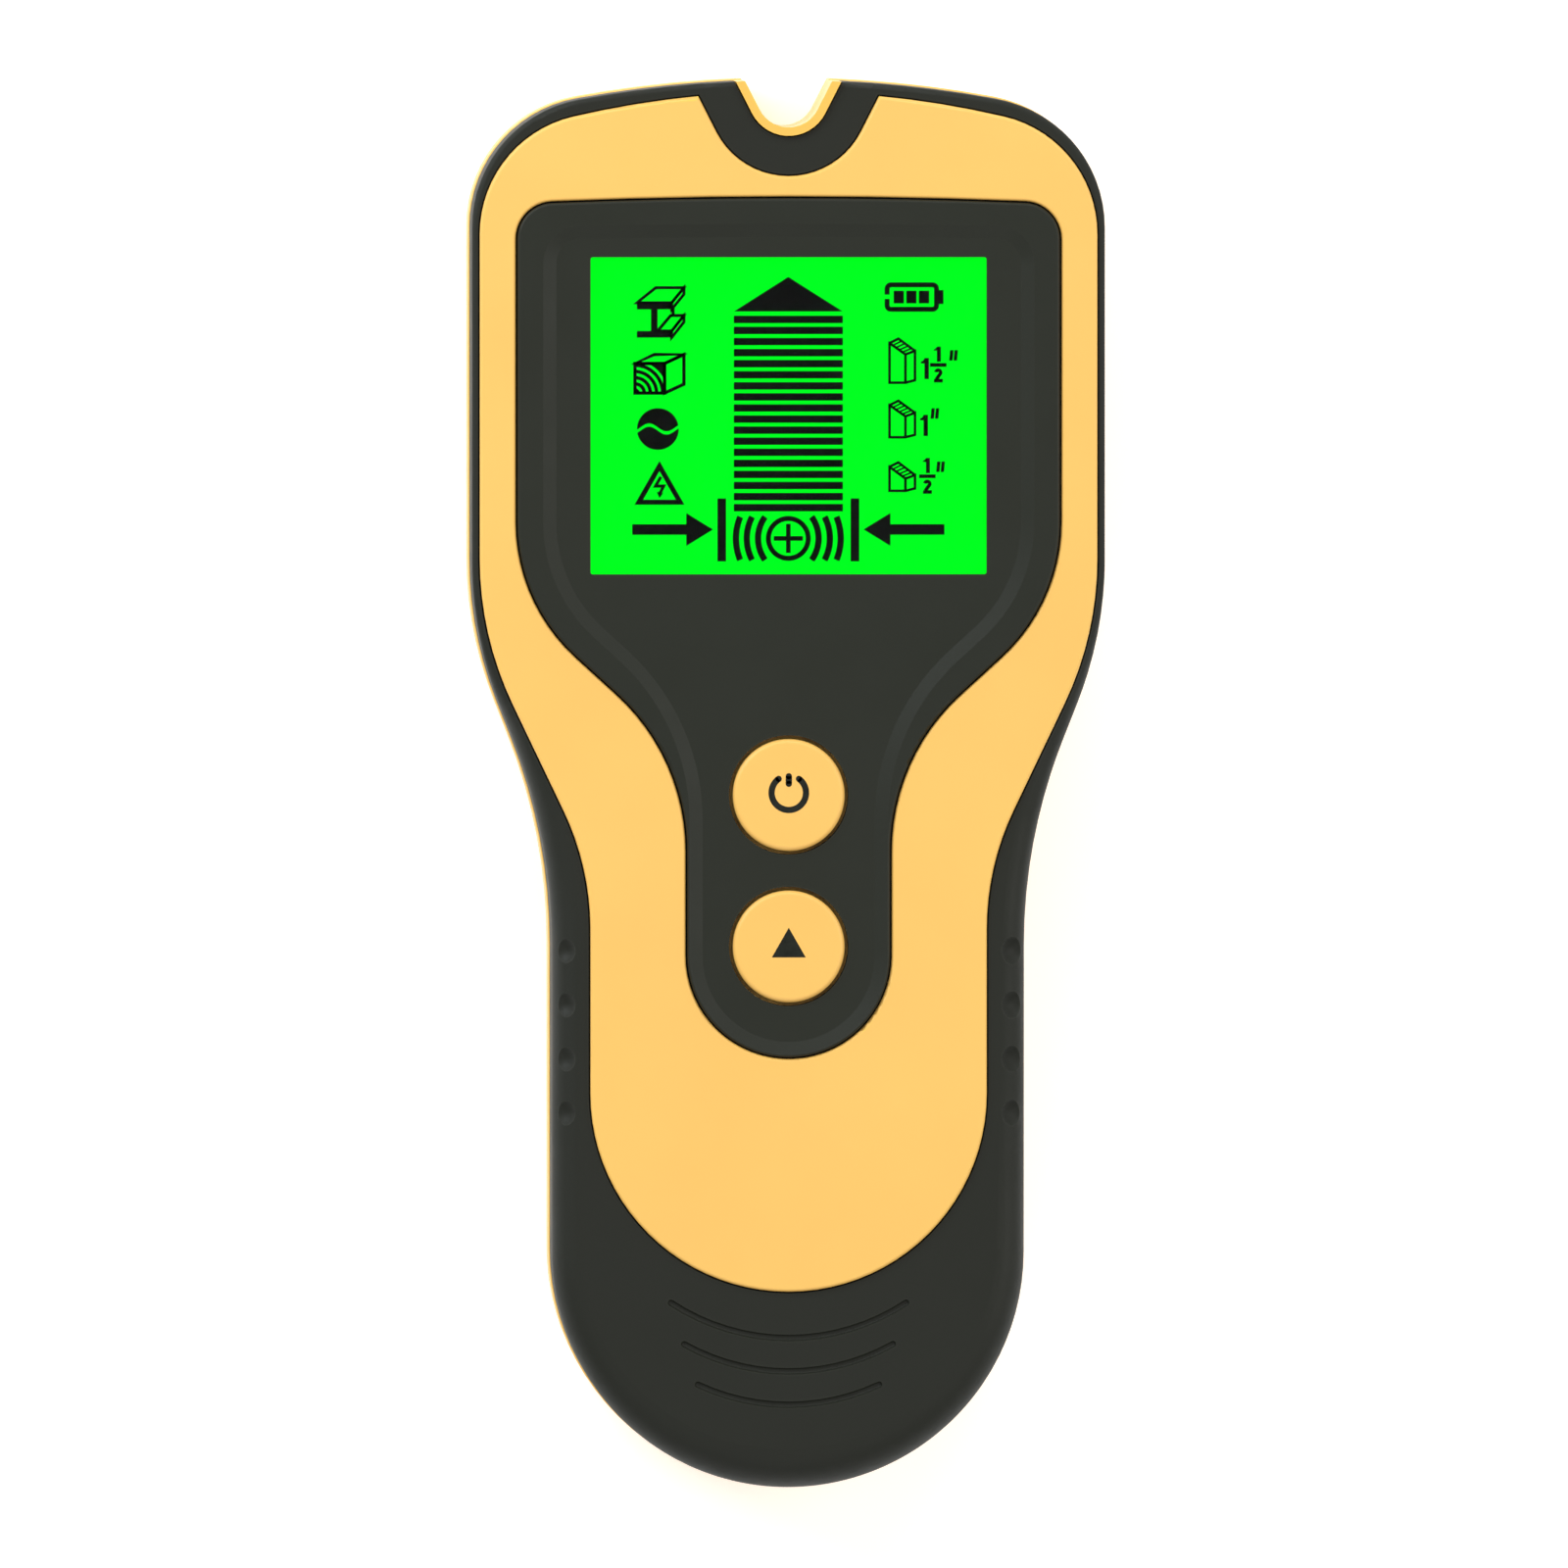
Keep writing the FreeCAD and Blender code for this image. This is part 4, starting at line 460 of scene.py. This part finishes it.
def ink(name, colour, roughness=0.5):
    """Printed ink with a slightly uneven film."""
    tree = Tree(name)
    film = tree.noise(scale=1500)
    tree.drive("Base Color", tree.mottle(film, colour, dark=0.8, light=1.3))
    tree.drive("Roughness", tree.spread(film, roughness - 0.06, roughness + 0.08))
    tree.bump(film, depth=1.5e-6)
    tree.set(Specular_IOR_Level=0.1)
    return tree.material


def top_centre(node):
    """The middle of a node's top, at rest."""
    low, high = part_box(node)
    return Vector(((low.x + high.x) / 2, (low.y + high.y) / 2, high.z))


# ---------------------------------------------------------------- button symbols


def power_symbol(pad):
    """A generic on/off mark: a ring open at the top, with an upright bar in the opening."""
    radius, line, middle = 1.83, 0.66, 0.25
    opening = 36
    bar_low, bar_high = middle + 0.95, middle + 1.76
    ends = (90 + opening, 450 - opening)
    pad.arc(0, middle, radius, line, *ends, steps=56)
    for angle in ends:
        turn = math.radians(angle)
        pad.disc(radius * math.cos(turn), middle + radius * math.sin(turn), line / 2)
    pad.stroke([(0, bar_low), (0, bar_high)], line)
    for level in (bar_low, bar_high):
        pad.disc(0, level, line / 2)


def mode_symbol(pad):
    """A solid triangle."""
    half, base, tip = 1.8, -1.15, 2.0
    pad.area([(-half, base), (half, base), (0, tip)])


def button_symbols():
    """Print one symbol on each of the two buttons."""
    black = ink("symbol_ink", (0.016, 0.018, 0.014))
    power = Ink(top_centre("power_button"))
    power_symbol(power)
    power.finish("power_symbol", black, "power_key")
    mode = Ink(top_centre("mode_button"))
    mode_symbol(mode)
    mode.finish("mode_symbol", black, "mode_key")


button_symbols()

# ---------------------------------------------------------------- display segments


def level_scale(pad):
    """The signal scale: an arrow head over eighteen bars."""
    half, head_low, head_high = 5.8, 11.07, 14.75
    bars, first, pitch, thick = 18, 10.62, 1.177, 0.79
    pad.area([(-half, head_low), (half, head_low), (0, head_high)])
    for index in range(bars):
        top = first - index * pitch
        pad.box(-half, half, top - thick, top)


def crossed_ring(pad, level):
    """A ring with a plus sign inside it."""
    radius, line, arm, half = 2.12, 0.54, 1.55, 0.25
    pad.arc(0, level, radius, line, 0, 360, steps=56)
    pad.box(-arm, arm, level - half, level + half)
    pad.box(-half, half, level + half, level + arm)
    pad.box(-half, half, level - arm, level - half)


def side_arcs(pad, side, level):
    """Three arcs that spread from the ring to one side."""
    line, half_height = 0.68, 2.3
    middle = 0 if side > 0 else 180
    for radius, edge in ((3.9, 3.22), (4.9, 4.42), (6.0, 5.57)):
        spread = math.degrees(math.asin(half_height / radius))
        pad.arc(side * (edge - radius), level, radius, line, middle - spread, middle + spread, steps=20)


def post_and_arrow(pad, side):
    """An upright post and, outside it, an arrow that points at it."""
    post_near, post_far, post_low, post_high = 6.62, 7.54, -15.5, -8.8
    level, tip, neck, tail = -12.1, 8.0, 10.85, 16.6
    head_half, shaft_half = 1.75, 0.56
    pad.box(*sorted((side * post_near, side * post_far)), post_low, post_high)
    pad.area([(side * tip, level), (side * neck, level + head_half), (side * neck, level - head_half)])
    pad.box(*sorted((side * neck, side * tail)), level - shaft_half, level + shaft_half)


def centre_mark(pad):
    """The centring target: a crossed ring between spreading arcs, two posts and two arrows."""
    level = -13.05
    crossed_ring(pad, level)
    for side in (-1, 1):
        side_arcs(pad, side, level)
        post_and_arrow(pad, side)


def beam_icon(pad):
    """A steel I-beam in slanted projection: solid front edges, outlined top and end faces."""
    left, right, far, flange, line = -16.1, -12.4, -11.1, 0.70, 0.33
    upper, lower, web_left, web_right = 11.3, 8.3, left + 1.5, left + 2.2
    end, end_low, end_high = right + 0.15, 10.65, 11.5
    for low, near, back, rise in ((upper, left, -14.1, 1.6), (lower, web_right, -12.5, 1.65)):
        top = low + flange
        pad.box(left, right, low, top)
        pad.outline([(near, top), (back, top + rise), (far, top + rise), (right, top)], line)
        pad.outline([(right, low), (right, top), (far, top + rise), (far, top + rise - flange)], line)
    pad.box(web_left, web_right, lower + flange, upper)
    pad.stroke([(end, end_low), (end, end_high)], line)


def year_rings(pad, x, y, side):
    """Quarter rings round a square's lower left corner, and the dark wood beyond them."""
    rings, gap = 5, 0.26
    reach = side * 1.04
    pitch = reach / rings
    for ring in range(rings):
        pad.arc(x, y, (ring + 0.5) * pitch, pitch - gap, 1, 89, steps=20)
    top, right = y + side, x + side
    inset, outer, steps = reach * 0.32, reach * 1.04, 8
    start, swing = 72, 54
    corner = [(right, y + inset), (right, top), (x + inset, top)]
    for index in range(steps + 1):
        angle = math.radians(start - swing * index / steps)
        corner.append((x + outer * math.cos(angle), y + outer * math.sin(angle)))
    pad.area([(min(right, across), min(top, up)) for across, up in corner])


def timber_icon(pad):
    """A block of timber in slanted projection, with year rings over its front face."""
    x, y, side, back, rise, line = -16.3, 2.4, 3.15, 2.05, 0.95, 0.37
    top, right = y + side, x + side
    far, far_top = right + back, top + rise
    pad.outline([(x, top), (x + back, far_top), (far, far_top), (right, top)], line)
    pad.outline([(right, y), (right, top), (far, far_top), (far, y + rise)], line)
    pad.outline([(x, y), (right, y), (right, top), (x, top)], line)
    year_rings(pad, x, y, side)


def mains_icon(pad):
    """A disc crossed by a wave: live wiring."""
    x, y, radius, gap, steps = -13.87, -1.42, 2.22, 0.34, 40
    length, rise = 3.7, 0.42
    for side in (-1, 1):
        rim, edge = [], []
        for index in range(1, steps):
            across = -radius * math.cos(math.pi * index / steps)
            height = math.sqrt(radius ** 2 - across ** 2)
            lift = side * gap / 2 - rise * math.sin(2 * math.pi * across / length)
            edge.append((x + across, y + max(-height, min(height, lift))))
            rim.append((x + across, y + side * height))
        pad.band(rim, edge)


def hazard_icon(pad):
    """A triangle with a lightning arrow."""
    x, y, half, height = -13.7, -9.2, 2.2, 3.85
    line, bolt_line = 0.54, 0.34
    pad.outline([(x - half, y), (x + half, y), (x, y + height)], line)
    bolt = [(0.15, 2.7), (-0.42, 1.72), (0.45, 1.72), (0.08, 1.0)]
    bolt_tip = [(-0.3, 1.12), (0.4, 0.98), (0, 0.42)]
    pad.stroke([(x + across, y + up) for across, up in bolt], bolt_line)
    pad.area([(x + across, y + up) for across, up in bolt_tip])


def cell_icon(pad):
    """A battery gauge with three cells and a small gap in its outline."""
    left, right, low, high, line, corner = 10.5, 15.75, 11.3, 13.9, 0.52, 0.4
    middle = (low + high) / 2
    gap_high, gap_low = middle + 0.26, middle - 0.2
    cap, cap_half = 0.48, 0.74
    cells, first, pitch, width, cell_half = 3, left + 0.70, 1.34, 1.09, 0.67
    pad.bent([(left, gap_high), (left, high), (right, high), (right, low), (left, low), (left, gap_low)],
             corner, line)
    edge = right + line / 2
    pad.box(edge, edge + cap, middle - cap_half, middle + cap_half)
    for index in range(cells):
        start = first + index * pitch
        pad.box(start, start + width, middle - cell_half, middle + cell_half)


def one(pad, x, y, height, line):
    """A 1 with a flag, from its lower left corner."""
    flag = line * 0.8
    tip, under, over = y + height * 0.74, y + height * 0.84, y + height * 0.86
    pad.box(x + flag, x + flag + line, y, y + height)
    pad.area([(x, tip), (x + flag, tip), (x + flag, y + height), (x + flag * 0.6, over), (x, under)])


def two(pad, x, y, height, line):
    """A 2 from its lower left corner: a round head, a slanted neck and a flat foot."""
    head = height * 0.3
    centre_x, centre_y, reach = x + head, y + height - head, head - line / 2
    start, swing, steps = 170, 200, 14
    path = []
    for index in range(steps + 1):
        angle = math.radians(start - swing * index / steps)
        path.append((centre_x + reach * math.cos(angle), centre_y + reach * math.sin(angle)))
    path.append((x + line * 0.65, y + line * 0.9))
    pad.stroke(path, line)
    pad.box(x, x + head * 2.1, y, y + line)


def inch_mark(pad, x, y):
    """Two slanted ticks from the lower left corner."""
    width, height, lean, pitch = 0.36, 1.12, 0.1, 0.47
    for left in (x, x + pitch):
        right = left + width
        pad.area([(left, y), (right, y), (right + lean, y + height), (left + lean, y + height)])


def half_mark(pad, x, y):
    """The fraction one over two, from the left end of its bar."""
    length, half = 1.76, 0.2
    one(pad, x + 0.40, y + 0.33, height=1.62, line=0.42)
    pad.box(x, x + length, y - half, y + half)
    two(pad, x + 0.42, y - 1.86, height=1.5, line=0.38)


def depth_icon(pad, low, left_top, front_top):
    """A wall slab in slanted projection, taller for a deeper range, with a hatched top."""
    left, back, front, right = 10.76, 11.7, 12.45, 13.47
    line, hatch, spaces = 0.28, 0.18, 5
    apex, side_top, side_low = left_top + 0.48, front_top + 0.38, low + 0.26
    pad.outline([(left, low), (front, low), (front, front_top), (left, left_top)], line)
    pad.stroke([(front, low), (right, side_low), (right, side_top), (front, front_top)], line)
    pad.stroke([(left, left_top), (back, apex), (right, side_top)], line)
    for index in range(1, spaces):
        share = index / spaces
        near = (left + (front - left) * share, left_top + (front_top - left_top) * share)
        far = (back + (right - back) * share, apex + (side_top - apex) * share)
        pad.stroke([near, far], hatch)


def depth_scale(pad):
    """Three wall slabs with their depths: one and a half inches, one inch and half an inch."""
    for low, left_top, front_top in ((3.5, 7.7, 6.5), (-2.3, 1.1, -0.08), (-8.0, -5.45, -6.7)):
        depth_icon(pad, low, left_top, front_top)
    one(pad, 14.1, 3.88, height=2.24, line=0.47)
    half_mark(pad, 15.06, 5.38)
    inch_mark(pad, 17.1, 5.84)
    one(pad, 14.0, -2.18, height=2.26, line=0.47)
    inch_mark(pad, 15.12, -0.34)
    half_mark(pad, 13.9, -6.45)
    inch_mark(pad, 15.72, -6.0)


def display_segments():
    """All the dark display segments, just above the lit glass."""
    clearance = 0.002 * MM
    low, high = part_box("lcd_glass")
    pad = Ink(Vector(((low.x + high.x) / 2, (low.y + high.y) / 2, high.z + clearance)))
    for draw in (level_scale, centre_mark, beam_icon, timber_icon, mains_icon, hazard_icon, cell_icon,
                 depth_scale):
        draw(pad)
    black = ink("segment_black", (0.0008, 0.0008, 0.0008), roughness=0.7)
    pad.finish("lcd_segments", black, "case")


display_segments()

# ---------------------------------------------------------------- studio

FLOOR_SIZE = 6.0
FLOOR_GAP = 0.2 * MM       # below the lowest point of the object
FLOOR_GLOW = 0.40
SKY_STRENGTH = 0.42
WHITE = (1, 1, 1, 1)


def floor_material():
    """Almost white and faintly glowing from above, clear from below."""
    tree = Tree("studio_floor")
    drift = tree.noise(scale=3)
    tree.drive("Base Color", tree.blend(tree.spread(drift, 0, 1), (0.90, 0.90, 0.90), (0.94, 0.94, 0.94)))
    tree.drive("Roughness", tree.spread(drift, 0.8, 0.95))
    tree.set(Emission_Color=WHITE, Emission_Strength=FLOOR_GLOW)
    below = tree.add("ShaderNodeNewGeometry").outputs["Backfacing"]
    clear = tree.add("ShaderNodeBsdfTransparent").outputs[0]
    surface = tree.add("ShaderNodeMixShader", {0: below, 1: tree.shader.outputs[0], 2: clear})
    tree.links.new(surface.outputs[0], tree.nodes["Material Output"].inputs["Surface"])
    return tree.material


def make_floor():
    """A wide floor just under the glide pads."""
    grid = bmesh.new()
    bmesh.ops.create_grid(grid, x_segments=4, y_segments=4, size=FLOOR_SIZE / 2)
    data = bpy.data.meshes.new("studio_floor")
    grid.to_mesh(data)
    grid.free()
    floor = bpy.data.objects.new("studio_floor", data)
    floor.location.z = CAD_LOW.z - FLOOR_GAP
    bpy.context.scene.collection.objects.link(floor)
    data.materials.append(floor_material())


def soft_light(name, place, size, power, colour=(1, 1, 1)):
    """A square soft box that faces the frame's origin."""
    data = bpy.data.lights.new(name, "AREA")
    data.shape = "SQUARE"
    data.size = size
    data.energy = power
    data.color = colour
    light = bpy.data.objects.new(name, data)
    light.location = place
    light.rotation_mode = "QUATERNION"
    light.rotation_quaternion = Vector(place).to_track_quat("Z", "Y")
    bpy.context.scene.collection.objects.link(light)


def make_studio():
    """The floor, four soft boxes and an even white sky."""
    make_floor()
    soft_light("key_upper_left", (-0.54, 0.48, 0.50), size=0.5, power=4.5, colour=(0.90, 0.955, 1.0))
    soft_light("fill_right", (1.0, 0.1, 1.0), size=1.0, power=6.5, colour=(1.0, 0.985, 0.96))
    soft_light("fill_tail", (-0.1, -0.9, 1.15), size=1.0, power=2.6)
    soft_light("head_wash", (0.2, 1.05, 0.85), size=0.8, power=4.0)
    world = bpy.data.worlds.new("studio")
    bpy.context.scene.world = world
    world.use_nodes = True
    sky = world.node_tree.nodes["Background"]
    sky.inputs["Color"].default_value = WHITE
    sky.inputs["Strength"].default_value = SKY_STRENGTH
    bpy.context.scene.view_settings.view_transform = "Standard"


make_studio()
